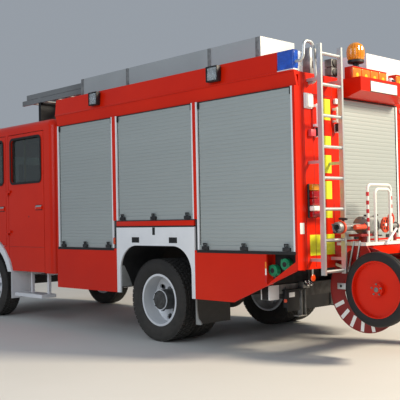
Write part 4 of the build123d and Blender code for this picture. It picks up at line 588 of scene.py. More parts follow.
# %% [markdown]
# The white panels over the rear wheels have two barred recesses for hands and boots, and a
# black catch in a slot between them. Each recess is a flat black plate under its bars, painted
# shade for its depth. White fillers close the model's own slots, which sit too
# high. A red sill runs under the middle shutter. The mudflaps' outer edges are pale rubber and
# flare back at the foot, and a pale shield stands ahead of the wheel. Flat parts like these are
# cut along an outline, as with tin snips.
# %% Arch panels, sills and mudflap edges
arch_middle = 2.110
recesses, fillers, flaps = meshes(3)
for offset in (-0.330, 0.330):
    middle = arch_middle + offset
    slabs(fillers, [(middle - 0.0455, middle + 0.0455, 1.226, 1.2453, 1.182, 1.248)], 0.0005)
    # Each recess's black plate is painted shade for its depth.
    slabs(recesses, [(middle - 0.068, middle + 0.068, 1.2440, 1.2462, 1.128, 1.192)], 0.001)
    rods(recesses, [(middle - 0.062, 1.2460, z, middle + 0.062, 1.2460, z, 0.0022, 8, 0)
                    for z in (1.138, 1.1525, 1.167, 1.1815)])
slabs(recesses, [(arch_middle - 0.024, arch_middle + 0.021, 1.2440, 1.2475, 1.218, 1.304)], 0.006, steps=3)
shown("arch_panel_faces", fillers, white_lacquer, "white_paint", pair=True)
slab_piece("middle_sills", red_lacquer, "red_paint",
           [(1.434, 2.796, 1.205, 1.2462, 1.3225, 1.3795)], pair=True)
shown("arch_recess_shade_bars_and_catch", recesses, seal_rubber, "black_plastic", pair=True)
flap_x = at(arch_middle) - 0.625
flap_line = [
    # back from the flap, height
    (0.001, 0.535), (0.008, 0.535), (0.012, 0.400), (0.030, 0.310), (0.085, 0.262), (0.078, 0.246),
    (0.001, 0.246),
]
shield_line = [(1.2240, 0.900), (1.2240, 0.600), (1.0700, 0.600), (1.1100, 0.700), (1.1950, 0.860)]
outline_part(flaps, [(flap_x - back, z) for back, z in flap_line], 1.176, 1.193, along=True)
outline_part(flaps, shield_line, at(arch_middle) + 0.6195, at(arch_middle) + 0.6245)
shown("rear_flap_edges", flaps, flap_rubber, "white_paint", pair=True)
slab_piece("rear_shutter_trim", seal_rubber, "black_plastic", [
    (-0.0045, 0.006, -0.517, 0.517, 2.581, 2.597, 0.002),
    (0.0025, 0.0075, 0.484, 0.493, 1.200, 2.580, 0.001), (-0.010, -0.0005, 0.245, 0.335, 1.154, 1.190),
    (0.0025, 0.0075, -0.493, -0.484, 1.200, 2.580, 0.001), (-0.010, -0.0005, -0.335, -0.245, 1.154, 1.190),
])

# %% [markdown]
# Two floodlights a side stand out from the fascia. Each is a black cast box whose glass is set
# back behind a rim. The block's outer face is inset and pushed in for that rim, and the glass
# with its bright reflector behind it is a second piece.
# %% A housing with a sunk face
def lamp_box(mesh, low, high, out, rim, depth, ease=0.006):
    """A lamp's housing whose face towards out is sunk, to leave a rim round the glass."""
    low, high, out = Vector(low), Vector(high), Vector(out)
    made = bmesh.ops.create_cube(mesh, size=1.0, matrix=Matrix.Translation((low + high) / 2)
                                 @ Matrix.Diagonal((*(high - low), 1.0)))["verts"]
    faces = {face for corner in made for face in corner.link_faces}
    for face in faces:
        face.normal_update()
    front = max(faces, key=lambda face: face.normal.dot(out))
    edges = list({edge for corner in made for edge in corner.link_edges})
    bmesh.ops.inset_individual(mesh, faces=[front], thickness=rim, depth=0.0)
    bmesh.ops.inset_individual(mesh, faces=[front], thickness=rim * 0.25, depth=-depth)
    eased(mesh, [edge for edge in edges if edge.is_valid], ease)


# %% Floodlights
flood_boxes, flood_glass, flood_mirrors = meshes(3)
for middle in (1.060, 3.165):
    rear, front = middle - 0.085, middle + 0.085
    lamp_box(flood_boxes, (at(rear), 1.2475, 2.823), (at(front), 1.309, 2.988), (0, 1, 0), 0.013, 0.024)
    slabs(flood_boxes, [(rear + 0.03, front - 0.03, 1.235, 1.250, 2.86, 2.95)])
    slabs(flood_glass, [(rear + 0.016, front - 0.016, 1.296, 1.302, 2.839, 2.972)], 0.002)
    slabs(flood_mirrors, [(rear + 0.017, front - 0.017, 1.2855, 1.289, 2.840, 2.971)], 0.001)
    for x in (at(middle) - 0.045, at(middle), at(middle) + 0.045):
        rod(flood_mirrors, (x, 1.287, 2.905), (x, 1.2945, 2.905), 0.020, end_radius=0.010)
shown("floodlight_boxes", flood_boxes, black_plastic, "black_plastic", replaces=("lamps",), pair=True)
shown("floodlight_mirrors", flood_mirrors, lamp_reflector, "shutter_aluminium", pair=True)
shown("floodlight_glass", flood_glass, clear_lens, "clear_glass", pair=True)

# %% [markdown]
# A tail cluster stacks its lights in one tall black case: direction light on top, then brake
# and tail light, reversing light and rear reflector. Each lens is its own coloured window with
# a small gap, so each is one block with well rounded edges. The white marker above it is a
# plain lens in a white frame.
# %% Tail clusters and markers
tail_right, tail_left = 0.957, 1.085
ambers, reds, clears = meshes(3)
tail_windows = [
    # mesh, low, high
    (ambers, 1.643, 1.706), (reds, 1.571, 1.639), (reds, 1.499, 1.567), (clears, 1.447, 1.495),
    (reds, 1.384, 1.443),
]
for mesh, low, high in tail_windows:
    slabs(mesh, [(-0.0695, -0.022, tail_right, tail_left, low, high)], 0.009, steps=3)
    for rib in range(1, 7):
        y = tail_right + rib * 0.128 / 7
        rods(mesh, [(-0.0672, y, low + 0.010, -0.0672, y, high - 0.010, 0.0026, 8, 0)])
slab_piece("tail_lamp_cases", black_plastic, "black_plastic",
           [(-0.024, -0.0003, 0.951, 1.091, 1.380, 1.710)], 0.010, 3, pair=True)
shown("tail_lamp_ambers", ambers, amber_lens, "lamp_plastic", pair=True)
shown("tail_lamp_reds", reds, red_lens, "lamp_plastic", pair=True)
shown("tail_lamp_whites", clears, white_film, "lamp_plastic", pair=True)
slab_piece("rear_marker_frames", white_lacquer, "white_paint",
           [(-0.016, -0.0003, 0.993, 1.112, 2.440, 2.590)], 0.006, 3, pair=True)
slab_piece("rear_marker_lenses", white_film, "lamp_plastic",
           [(-0.0395, -0.015, 1.001, 1.104, 2.449, 2.581)], 0.012, 4, pair=True)
slab_piece("side_markers", orange_lens, "lamp_plastic",
           [(2.818, 2.854, 1.2446, 1.259, 1.105, 1.185)], 0.004, pair=True)

# %% [markdown]
# The blue corner lamps wrap round the rear corners of the roof. Their outer skin is ribbed from
# the inside, which shows as level bands, and a white lamp housing stands beside each. Amber
# lamps fill the rear edge of the roof, four cells to a block, each with its bright bulb low
# down. The beacon is a tall dome whose skin is a lens of upright flutes.
# %% Blue lamps
blues = bmesh.new()
slabs(blues, [(0.0, 0.208, 1.1725, 1.2495, 2.812, 2.998)], 0.012, steps=3)
for band in range(6):
    z = 2.838 + band * 0.027
    slabs(blues, [(0.004, 0.200, 1.2485, 1.2502, z, z + 0.012), (-0.0008, 0.001, 1.180, 1.242, z, z + 0.012)],
          0.0008, steps=1)
shown("blue_lamps", blues, blue_lens, "blue_glass", replaces=("warning_lamps",), pair=True)
blue_bases = bmesh.new()
slabs(blue_bases, [(0.002, 0.160, 1.108, 1.1715, 2.845, 2.992)], 0.010, steps=3)
slabs(blue_bases, [(0.002, 0.21, 1.170, 1.2475, 2.8, 2.813, 0.002),
                   (0.010, 0.150, 1.108, 1.1690, 2.789, 2.850)])
shown("blue_lamp_housings", blue_bases, white_lacquer, "white_paint", pair=True)

# %% Amber blocks
amber_low, amber_high, amber_depth = 2.790, 2.950, 0.110
amber_cases, amber_cells, amber_bulbs = meshes(3)
for start in (-0.3455, -1.1605):
    end = start + 0.631
    slabs(amber_cases, [(0.020, amber_depth, start, end, amber_low, amber_high, 0.006),
                        (0.002, 0.022, start, end, amber_high - 0.012, amber_high)])
    for cell in range(4):
        low_y = start + 0.003 + cell * 0.1575
        slabs(amber_cells, [(0.0, 0.030, low_y, low_y + 0.1515, amber_low + 0.003, amber_high - 0.012)],
              0.012, steps=4)
        y, z = low_y + 0.076, amber_low + 0.073
        rod(amber_bulbs, (at(0.0118), y, z), (at(-0.0002), y, z), 0.034, sides=28,
            end_radius=0.026, ease=0.003)
shown("amber_lamp_cases", amber_cases, red_lacquer, "red_paint")
shown("amber_lamp_cells", amber_cells, cell_skin, "lamp_plastic")
shown("amber_lamp_bulbs", amber_bulbs, bulb_glow, "lamp_plastic")

# %% Beacon
beacon_x, beacon_y, beacon_low = at(0.060), 0.146, 3.000
dome_steps = 40
flute_depth = 0.0032
dome, beacon_base = meshes(2)
dome_line = [
    # height, radius
    (0.030, 0.0), (0.030, 0.078), (0.040, 0.084), (0.065, 0.092), (0.100, 0.0965), (0.135, 0.0945),
    (0.168, 0.086), (0.195, 0.068), (0.213, 0.040), (0.220, 0.0),
]
base_line = [
    # height, radius
    (2.949, 0.0), (2.949, 0.046), (2.956, 0.048), (2.962, 0.032), (2.996, 0.032), (3.000, 0.080),
    (3.006, 0.086), (3.030, 0.086), (3.0312, 0.0),
]
turned(dome, (beacon_x, beacon_y, beacon_low), (0, 0, 1), dome_line, steps=dome_steps)
bmesh.ops.remove_doubles(dome, verts=dome.verts, dist=1e-6)
for vert in dome.verts:
    away = Vector((vert.co.x - beacon_x, vert.co.y - beacon_y, 0))
    if away.length > 0.06:
        turn = round(away.to_2d().angle_signed(Vector((1, 0))) / (2 * pi) * dome_steps)
        vert.co -= away.normalized() * (flute_depth if turn % 2 else 0.0)
shown("beacon_dome", dome, amber_lens, "lamp_plastic", fold=12)
turned(beacon_base, (beacon_x, beacon_y, 0), (0, 0, 1), base_line, steps=32)
shown("beacon_base", beacon_base, black_plastic, "black_plastic")

# %% [markdown]
# A drip rail runs along the crease above the shutters, and the ladder box on the roof is held by
# four flat straps on each of its sides. The locker beside it is stiffened by pressed ribs.
# %% Drip rails, straps and ribs
slab_piece("drip_rails", red_lacquer, "red_paint", [(0.012, 4.075, 1.2495, 1.259, 2.786, 2.801)], pair=True)
box_low, box_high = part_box("ladder_box")
slab_piece("ladder_box_straps", zinc_steel, "grey_steel",
           [(station, station + 0.050, y - 0.0055, y + 0.0055, 3.012, 3.2845)
            for station in (0.700, 1.420, 2.880, 3.840) for y in (box_low.y, box_high.y)], 0.002)
locker_low, locker_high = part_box("roof_locker")
locker_size = locker_high - locker_low
ribs = bmesh.new()
for rib in range(5):
    x = locker_low.x + 0.090 + rib * (locker_size.x - 0.180) / 4
    for y in (locker_low.y, locker_high.y):
        block(ribs, (x - 0.020, y - 0.006, 2.840), (x + 0.020, y + 0.006, 3.080), ease=0.005)
for share in (0.25, 0.75):
    x, y = locker_low.x, locker_low.y + share * locker_size.y
    block(ribs, (x - 0.006, y - 0.020, 2.840), (x + 0.006, y + 0.020, 3.080), ease=0.005)
shown("roof_locker_ribs", ribs, white_lacquer, "white_paint")

# %% [markdown]
# Fluorescent yellow film marks the tail where drivers look. It is cut in plain blocks, laid on
# the painted wall between the ladder's rails, with gaps where hinges and seams pass. Film has
# almost no thickness, so each block stands less than a millimetre proud.
# %% Film on the rear wall
film_rows = [
    # low, high
    (2.350, 2.560), (2.070, 2.190), (1.821, 2.000), (1.564, 1.742), (1.377, 1.475),
]
slab_piece("rear_film", hivis_film, "white_paint",
           [(-0.0007, 0.0005, 0.692, 0.886, low, high) for low, high in film_rows]
           + [(-0.0007, 0.0005, 0.667, 1.057, 1.015, 1.216)], 0.0002, 1, pair=True)

# %% [markdown]
# The head of the light mast carries two round lamps that face the rear, dark while they are off.
# Beside the mast stands the grey case of its air gear, with louvres in its back.
# %% Mast lamps and the case beside them
mast_low, mast_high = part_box("mast_head")
lamp_y = (mast_low.y + mast_high.y) / 2 + 0.010
mast_lamps = bmesh.new()
for share in (0.25, 0.75):
    z = mast_low.z + share * (mast_high.z - mast_low.z)
    rod(mast_lamps, (mast_low.x + 0.001, lamp_y, z), (mast_low.x - 0.012, lamp_y, z), 0.042,
        sides=32, ease=0.004)
shown("mast_lamps", mast_lamps, black_plastic, "black_plastic", "mast_head")
slab_piece("mast_gear_case", zinc_steel, "grey_steel", [(0.190, 0.290, 0.540, 0.752, 2.792, 3.112)], 0.008)
slab_piece("mast_gear_louvres", dark_steel, "grey_steel",
           [(0.184, 0.1904, 0.585 + rank * 0.030, 0.599 + rank * 0.030, low, low + 0.070)
            for low in (2.905, 3.005) for rank in range(5)], 0.002)

# %% [markdown]
# The cab's windows sit in black rubber gaskets, a moulded strip that grips glass and door. Each
# is a frame with rounded corners: a flat plate whose corners are bevelled, then inset, so that
# its border is left as a ring, which is given its thickness. A door's handle is a chromed lever
# over a black dish, and a lock and a fine seam show in the skin below the window.
# %% A frame with rounded corners
def rounded_frame(mesh, low, high, side_y, corner, width, thickness):
    """A flat ring with rounded corners, on a plane that lies along the vehicle."""
    ring = bmesh.new()
    bmesh.ops.create_grid(ring, x_segments=1, y_segments=1, size=0.5)
    place = Matrix.Translation(((low[0] + high[0]) / 2, side_y, (low[1] + high[1]) / 2))
    size = Matrix.Diagonal((high[0] - low[0], high[1] - low[1], 1, 1))
    bmesh.ops.transform(ring, matrix=place @ Matrix.Rotation(radians(90), 4, "X") @ size, verts=ring.verts)
    eased(ring, ring.verts[:], corner, 6, "VERTICES")
    inner = ring.faces[:]
    bmesh.ops.inset_region(ring, faces=inner, thickness=width, use_even_offset=True, use_boundary=True)
    bmesh.ops.delete(ring, geom=inner, context="FACES_ONLY")
    bmesh.ops.solidify(ring, geom=ring.faces[:], thickness=thickness)
    bmesh.ops.translate(ring, vec=(0, thickness / 2 if side_y > 0 else -thickness / 2, 0), verts=ring.verts)
    pour(ring, mesh)


# %% Gaskets, handles and seams
doors = [
    # name, rear station, set of the lock
    ("crew_door", 4.500, 0.40), ("front_door", 5.510, 0.28),
]
crew_front = 5.450
skin_y = 1.170
overlap = 0.012


def off_skin(side, proud):
    """Y of a place that stands this far off the cab's skin."""
    return side * (skin_y + proud)


for name, rear, lock_set in doors:
    for side_name, side in sides:
        body = f"{name}_{side_name}"
        glass_low, glass_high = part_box(f"{name}_glass_{side_name}")
        gasket, dish, lever, seam = meshes(4)
        rounded_frame(gasket, (glass_low.x - overlap, glass_low.z - overlap),
                      (glass_high.x + overlap, glass_high.z + overlap),
                      off_skin(side, 0.0004), corner=0.075, width=0.030, thickness=0.006)
        shown(f"{name}_gasket_{side_name}", gasket, seal_rubber, "black_plastic", body)
        handle = rear + 0.145
        slabs(dish, [(handle - 0.095, handle + 0.075, off_skin(side, 0.0003), off_skin(side, 0.004),
                      1.555, 1.628)])
        shown(f"{name}_handle_dish_{side_name}", dish, black_plastic, "black_plastic", body)
        slabs(lever, [(handle - 0.085, handle + 0.050, off_skin(side, 0.010), off_skin(side, 0.0165),
                       1.598, 1.620)], 0.005, steps=3)
        pin = handle + 0.058
        rods(lever, [(pin, off_skin(side, 0.003), 1.590, pin, off_skin(side, 0.0155), 1.590,
                      0.011, 20, 0.002)])
        shown(f"{name}_handle_{side_name}", lever, chrome, "grey_steel", body)
        if name == "crew_door":
            slabs(seam, [(rear + 0.014, crew_front - 0.014, off_skin(side, -0.0002), off_skin(side, 0.0012),
                          1.041, 1.046)], 0.0005, steps=1)
        lock = rear + lock_set
        rods(seam, [(lock, off_skin(side, -0.0002), 1.47, lock, off_skin(side, 0.002), 1.47, 0.012, 20, 0)])
        shown(f"{name}_seam_{side_name}", seam, dark_red_with_painted_shade, "dark_red_paint", body)

# %% [markdown]
# Inside the crew door a yellow grab pole runs from sill to roof, so that a hand in a glove finds
# it in smoke. It shows through the side window. The pole is a bent tube, and a curve with a
# round bevel is the direct way to make one: a NURBS line keeps its bends even.
# %% Grab poles
pole_station = 5.15
pole_radius = 0.016
pole_line = [
    # reach from the middle, height
    (1.104, 1.30), (1.075, 1.32), (1.060, 1.40), (1.060, 1.75), (1.060, 2.15), (1.060, 2.50), (1.075, 2.585),
    (1.104, 2.60),
]
for side_name, side in sides:
    name = f"crew_grab_pole_{side_name}"
    line = bpy.data.curves.new(name, "CURVE")
    line.dimensions = "3D"
    line.bevel_depth = pole_radius
    line.bevel_resolution = 4
    line.use_fill_caps = True
    spline = line.splines.new("NURBS")
    spline.points.add(len(pole_line) - 1)
    for point, (y, z) in zip(spline.points, pole_line):
        point.co = (at(pole_station), side * y, z, 1.0)
    spline.order_u = 3
    spline.use_endpoint_u = True
    spline.resolution_u = 8
    pole = bpy.data.objects.new(name, line)
    bpy.context.scene.collection.objects.link(pole)
    wear(pole, yellow_lacquer)
    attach(pole, f"crew_door_{side_name}")
    print(name, len(pole_line), "points")

# %% [markdown]
# The seats are foam cushions on steel boxes, in a woven cloth. A foam cushion is crowned: its
# top swells in the middle, its sides pull in between the corners, and a welt runs round its
# edge. Each starts as a block that is divided, then swells with the distance from its rim. They
# sit behind tinted glass, so the shape is given instead of being simulated. The weave
# repeats every 38 mm, far more coarsely than real cloth, so that it shows at this distance. The
# bands of a wave texture repeat every 2 pi / 20 metres where its scale is 1.
# %% Woven cloth
def woven_cloth(name, main, other, repeat_mm):
    """A plain weave: two sets of threads that cross, read from the piece's own Object space."""
    material = bpy.data.materials.new(name)
    material.use_nodes = True
    tree = material.node_tree
    tree.nodes.clear()
    place = add(tree, "TexCoord").outputs["Object"]
    bands = 1000 / repeat_mm * 2 * pi / 20
    sets = []
    for direction in ("X", "Z"):
        wave = add(tree, "TexWave", {"Vector": place, "Scale": bands, "Distortion": 0.4},
                   wave_type="BANDS", bands_direction=direction)
        sets.append(wave.outputs["Fac"])
    weave = add(tree, "Math", {0: sets[0], 1: sets[1]}, operation="MULTIPLY").outputs[0]
    tones = {0: weave, 6: paint_card(main), 7: paint_card(other)}
    tone = add(tree, "Mix", tones, data_type="RGBA").outputs[2]
    bump = add(tree, "Bump", {"Height": weave, "Distance": 0.0008}).outputs[0]
    lit = add(tree, "BsdfPrincipled",
              {"Base Color": tone, "Roughness": 0.85, "Normal": bump, "Sheen Weight": 0.4})
    add(tree, "OutputMaterial", {"Surface": lit.outputs[0]})
    return material


seat_cloth = woven_cloth("woven seat cloth", "#3A4150", "#596273", 37.7)


# %% A crowned cushion
def cushion(name, low, high, up):
    """A crowned cushion in a box, swelling towards up, pulled in along its sides."""
    low, high, up = Vector(low), Vector(high), Vector(up)
    size, middle = high - low, (low + high) / 2
    pad = bmesh.new()
    bmesh.ops.create_cube(pad, size=1.0)
    bmesh.ops.subdivide_edges(pad, edges=pad.edges[:], cuts=9, use_grid_fill=True)
    lift = max(range(3), key=lambda axis: abs(up[axis]))
    flat = [axis for axis in range(3) if axis != lift]
    for vert in pad.verts:
        spot = vert.co * 2
        crown = (1 - spot[flat[0]] ** 2) * (1 - spot[flat[1]] ** 2)
        top = spot[lift] * up[lift]
        if top > 0:
            vert.co[lift] *= 0.66 + 0.34 * crown ** 0.5
        for one, other in (flat, flat[::-1]):
            vert.co[one] *= 0.965 + 0.035 * spot[other] ** 2
            vert.co[one] *= 0.95 + 0.05 * (1 - max(top, 0) ** 4)
    for vert in pad.verts:
        vert.co = Vector(vert.co[axis] * size[axis] for axis in range(3)) + middle
    made = shown(name, pad, seat_cloth, "seat_fabric", fold=80)
    soften = made.modifiers.new("soften", "SUBSURF")
    soften.levels = 1
    soften.render_levels = 1


# %% Seats
seat_places = [
    # name, rear station, length, left y, right y
    ("driver", 5.700, 0.52, 0.87, 0.37), ("mate", 5.700, 0.52, -0.37, -0.87),
    ("bench_left", 4.475, 0.46, 1.02, 0.36), ("bench_middle", 4.475, 0.46, 0.33, -0.33),
    ("bench_right", 4.475, 0.46, -0.36, -1.02),
]
for name, rear, length, left, right in seat_places:
    x = at(rear)
    cushion(f"seat_cushion_{name}", (x, right, 1.492), (x + length, left, 1.625), (0, 0, 1))
    cushion(f"seat_back_{name}", (x - 0.115, right + 0.01, 1.560), (x + 0.015, left - 0.01, 2.270), (1, 0, 0))
slab_piece("seat_boxes", black_plastic, "black_plastic",
           [(rear + 0.02, rear + length - 0.03, right + 0.03, left - 0.03, 1.251, 1.492)
            for _, rear, length, left, right in seat_places], 0.010, replaces=("cab_seats",))

# %% [markdown]
# Seen from the front, the cab wears headlamps in chromed pans with an amber direction light
# beside each, fog lamps and a plain plate field in the bumper. The mirrors' glass faces the rear.
# %% Cab front and mirrors
pans, head_glass, fog = meshes(3)
slabs(pans, [(7.271, 7.2835, 0.777, 1.073, 1.002, 1.148)], 0.006)
for y in (0.845, 0.955):
    turned(pans, (at(7.2825), y, 1.075), (1, 0, 0),
           [(0.0, 0.052), (0.006, 0.054), (0.006, 0.050), (0.001, 0.036), (-0.004, 0.0)], steps=28)
    rods(head_glass, [(7.2895, y, 1.075, 7.2935, y, 1.075, 0.049, 32, 0.001)])
shown("headlamp_pans", pans, chrome, "grey_steel", pair=True)
shown("headlamp_glass", head_glass, clear_lens, "clear_glass", pair=True)
slab_piece("front_direction_lamps", amber_lens, "lamp_plastic",
           [(7.280, 7.2925, 1.014, 1.070, 1.008, 1.142)], 0.005, pair=True)
slab_piece("front_plate_field", black_plastic, "black_plastic",
           [(7.350, 7.3595, -0.27, 0.27, 0.485, 0.605)], 0.004)
for y in (0.62, 0.78):
    turned(fog, (at(7.356), y, 0.545), (1, 0, 0),
           [(0.0, 0.056), (0.0036, 0.056), (0.0036, 0.048), (0.001, 0.046), (0.0022, 0.0)], steps=28)
shown("bumper_fog_lamps", fog, clear_lens, "clear_glass", pair=True)
mirror_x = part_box("mirrors")[0].x
mirror_glass = bmesh.new()
for foot, top in ((2.135, 2.385), (1.975, 2.115)):
    block(mirror_glass, (mirror_x - 0.0033, 1.268, foot), (mirror_x + 0.0005, 1.412, top), ease=0.001)
shown("mirror_glass", mirror_glass, chrome, "clear_glass", pair=True)

# %% [markdown]
# In the tail's recess sit the green blind caps with their lugs and a retaining chain, before a
# black back, a flat sheet whose black is painted shade. A reflective strip runs down the edge
# of the panel. A chain's links are small rings, each turned a quarter round against the last,
# along a line that sags.
# %% Inlet caps in the tail recess
cap_places = [
    # station, height
    (0.366, 0.869), (0.209, 0.933),
]
cap_face = 1.199
lugs, cap_faces, chain, recess_backs, cap_centres = meshes(5)
cap_line = [
    # proud of the face, radius
    (-0.0115, 0.0), (-0.0115, 0.057), (-0.004, 0.054), (-0.004, 0.043), (0.001, 0.040), (0.001, 0.026),
    (-0.003, 0.022), (-0.003, 0.0),
]
for station, cap_z in cap_places:
    for angle, along, up in round_places(2, 0.060, 0.6):
        middle = Vector((at(station) + along, cap_face - 0.030, cap_z + up))
        half = Vector((0.013, 0.014, 0.013))
        block(lugs, middle - half, middle + half, ease=0.004, turn=Matrix.Rotation(-angle, 4, "Y"))
    turned(cap_faces, (at(station), cap_face, cap_z), (0, 1, 0), cap_line, steps=32)
    rods(cap_centres, [(station, cap_face + 0.0004, cap_z, station, cap_face + 0.0016, cap_z, 0.025, 28, 0)])

# %% Retaining chain and the recess's back
links = 13
sag = 0.0375
wire = [(0.0020 * cos(part * pi / 3), 0.0065 + 0.0020 * sin(part * pi / 3)) for part in range(7)]
for number in range(links):
    share = (number + 0.5) / links
    x = at(0.366 - 0.157 * share)
    z = 0.812 + 0.064 * share - sag * (1 - (2 * share - 1) ** 2)
    turn = Matrix.Rotation(radians(90 * (number % 2)), 4, "X") @ Matrix.Rotation(radians(90), 4, "Z")
    place = Matrix.Translation((x, cap_face - 0.018, z)) @ turn @ Matrix.Diagonal((1.0, 1.25, 1, 1))
    ring = bmesh.new()
    turned(ring, (0, 0, 0), (0, 0, 1), wire, steps=12)
    bmesh.ops.transform(ring, matrix=place, verts=ring.verts)
    pour(ring, chain)
shown("inlet_cap_lugs", lugs, green_plastic, "cap_green", pair=True)
shown("inlet_cap_faces", cap_faces, green_plastic, "cap_green", pair=True)
shown("inlet_cap_chain", chain, zinc_steel, "grey_steel", pair=True)
# The recess's black back is painted shade.
outline_part(recess_backs, [(at(0.396), 1.052), (at(0.024), 1.052), (at(0.024), 0.960), (at(0.396), 0.760)],
             1.1152, 1.1175, along=True)
shown("tail_recess_back_shade", recess_backs, seal_rubber, "black_plastic", pair=True)
shown("inlet_cap_centres", cap_centres, seal_rubber, "black_plastic", pair=True)
strip_cells = [
    # foot, top, film
    (0.756, 0.826, red_film), (0.826, 0.890, white_film), (0.890, 0.956, orange_film),
]
for number, (foot, top, film) in enumerate(strip_cells):
    slab_piece(f"edge_reflector_{number}", film, "lamp_plastic",
               [(0.402, 0.420, 1.2447, 1.2456, foot, top)], 0.0002, 1, pair=True)

# %% [markdown]
# Under the body's end hang the under-run bar's brackets with their bare white ends, a drain with
# its red knob on a cable, an orange reflector and two chromed air couplings a side. The bar's
# open end is a flat black sheet, painted shade for the dark inside of the tube.
# %% Fittings under the tail
black, grey, chromed, knobs, reflectors = meshes(5)
# The first black block is painted shade: the dark inside of the bar's open end.
slabs(black, [
    (0.5115, 0.5985, 1.0900, 1.1015, 0.570, 0.690, 0.001), (0.425, 0.500, 0.600, 0.911, 0.640, 0.652),
    (0.425, 0.485, 0.895, 0.905, 0.470, 0.642), (0.440, 0.452, 0.700, 0.890, 0.430, 0.642),
], 0.002)
slabs(grey, [
    (0.4968, 0.5002, 0.560, 0.955, 0.612, 0.704, 0.001), (0.425, 0.486, 0.612, 0.619, 0.372, 0.642),
    (0.425, 0.486, 0.672, 0.679, 0.372, 0.642), (0.480, 0.486, 0.612, 0.679, 0.372, 0.642, 0.001),
    (0.418, 0.490, 0.604, 0.740, 0.366, 0.376), (0.002, 0.006, 1.010, 1.036, 0.812, 0.885, 0.001),
    (0.428, 0.500, 0.596, 0.644, 0.650, 0.718, 0.004), (0.428, 0.500, 0.541, 0.589, 0.650, 0.718, 0.004),
], 0.002)
rods(black, [(0.420, 0.945, 0.560, 0.420, 0.945, 0.690, 0.004, 8, 0)])
rods(knobs, [(0.420, 0.945, 0.530, 0.420, 0.945, 0.564, 0.016, 20, 0.006)])
for y in (0.620, 0.565):
    rods(chromed, [(0.430, y, 0.694, 0.380, y, 0.694, 0.020, 20, 0.003),
                   (0.405, y, 0.694, 0.405, y + 0.028, 0.735, 0.012, 16, 0.002)])
turned(reflectors, (at(0.002), 1.023, 0.800), (-1, 0, 0),
       [(0.0, 0.0), (0.0, 0.034), (0.006, 0.033), (0.009, 0.028), (0.0095, 0.0)], steps=28)
shown("underrun_end_shade_and_black_fittings", black, seal_rubber, "black_plastic", pair=True)
shown("underrun_brackets", grey, zinc_steel, "grey_steel", pair=True)
shown("air_couplings", chromed, chrome, "grey_steel", pair=True)
slab_piece("underrun_white_ends", white_lacquer, "white_paint", [
    (0.4965, 0.5000, 0.955, 1.1005, 0.556, 0.704), (0.4975, 0.5115, 1.0995, 1.1030, 0.5585, 0.7015),
    (0.5985, 0.6125, 1.0995, 1.1030, 0.5585, 0.7015), (0.4355, 0.4400, 0.780, 0.868, 0.573, 0.622),
], 0.001, pair=True)
shown("drain_knobs", knobs, orange_plastic, "lamp_plastic", pair=True)
shown("rear_reflectors", reflectors, orange_lens, "lamp_plastic", pair=True)

# %% [markdown]
# On the rear wall beside the ladder, two clamp rods a side lock the gear behind it: a round
# white rod with a black overcentre latch at its foot. Fine dark seams show where the corner
# pillars meet the middle panel. A plain white label field sits low on each pillar.
# %% Rear wall fittings
clamp_rods = bmesh.new()
clamps = [
    # reach from the middle, top, foot
    (0.958, 2.492, 2.262), (0.640, 2.484, 2.323),
]
for y, top, foot in clamps:
    rods(clamp_rods, [(-0.050, y, top, -0.050, y, foot, 0.013, 16, 0.002)])
    slabs(clamp_rods, [(-0.056, 0.0, y - 0.014, y + 0.014, z - 0.012, z + 0.012)
                       for z in (top - 0.02, foot + 0.02)], 0.002)
slab_piece("pale_red_keeps", pale_red_plastic, "dark_red_paint",
           [(-0.040, 0.0, 0.977, 1.050, 2.172, 2.238)], 0.004, pair=True)
shown("clamp_rods", clamp_rods, white_lacquer, "white_paint", pair=True)
slab_piece("clamp_rod_latches", black_plastic, "black_plastic",
           [(-0.062, -0.012, y - 0.030, y - 0.006, foot - 0.085, foot - 0.002) for y, _, foot in clamps],
           0.004, pair=True)
slab_piece("clamp_rod_keeps", white_lacquer, "white_paint",
           [(-0.060, 0.0, y - 0.034, y - 0.012, foot - 0.095, foot - 0.005) for y, _, foot in clamps]
           + [(-0.030, 0.0, 0.560, 0.638, 2.520, 2.572, 0.004)], pair=True)
slab_piece("rear_wall_seams", dark_red_with_painted_shade, "dark_red_paint",
           [(-0.0011, 0.0005, y - 0.003, y + 0.003, 0.90, 2.785) for y in (0.965, 1.108, 0.664)]
           + [(-0.0011, 0.0005, 0.664, 1.108, 2.582, 2.590)], 0.0004, 1, pair=True)
slab_piece("label_fields", white_film, "white_paint",
           [(-0.0015, 0.0005, 1.140, 1.204, 1.228, 1.334)], 0.0005, pair=True)

# %% [markdown]
# A blank plate sits in a black holder across the housing's rear, a thin sheet with a rolled
# edge, so both are slabs with a fine ease. A small white hood above shades the plate's lamp.
# %% Blank plate and its lamp
slab_piece("plate_holder", black_plastic, "black_plastic",
           [(-0.2230, -0.2195, -0.188, 0.304, 2.648, 2.764)], 0.0012)
slab_piece("blank_plate", white_film, "white_paint",
           [(-0.2242, -0.2225, -0.180, 0.296, 2.656, 2.756)], 0.0008)
hood = bmesh.new()
turned(hood, (at(-0.135), -0.205, 2.790), (0, 0, 1),
       [(0.0, 0.0), (0.0, 0.040), (0.020, 0.040), (0.046, 0.032), (0.062, 0.016), (0.066, 0.0)], steps=28)
shown("plate_lamp_hood", hood, white_lacquer, "white_paint")
slab_piece("plate_lamp_glass", black_plastic, "black_plastic",
           [(-0.180, -0.150, -0.228, -0.182, 2.800, 2.832)], 0.006)

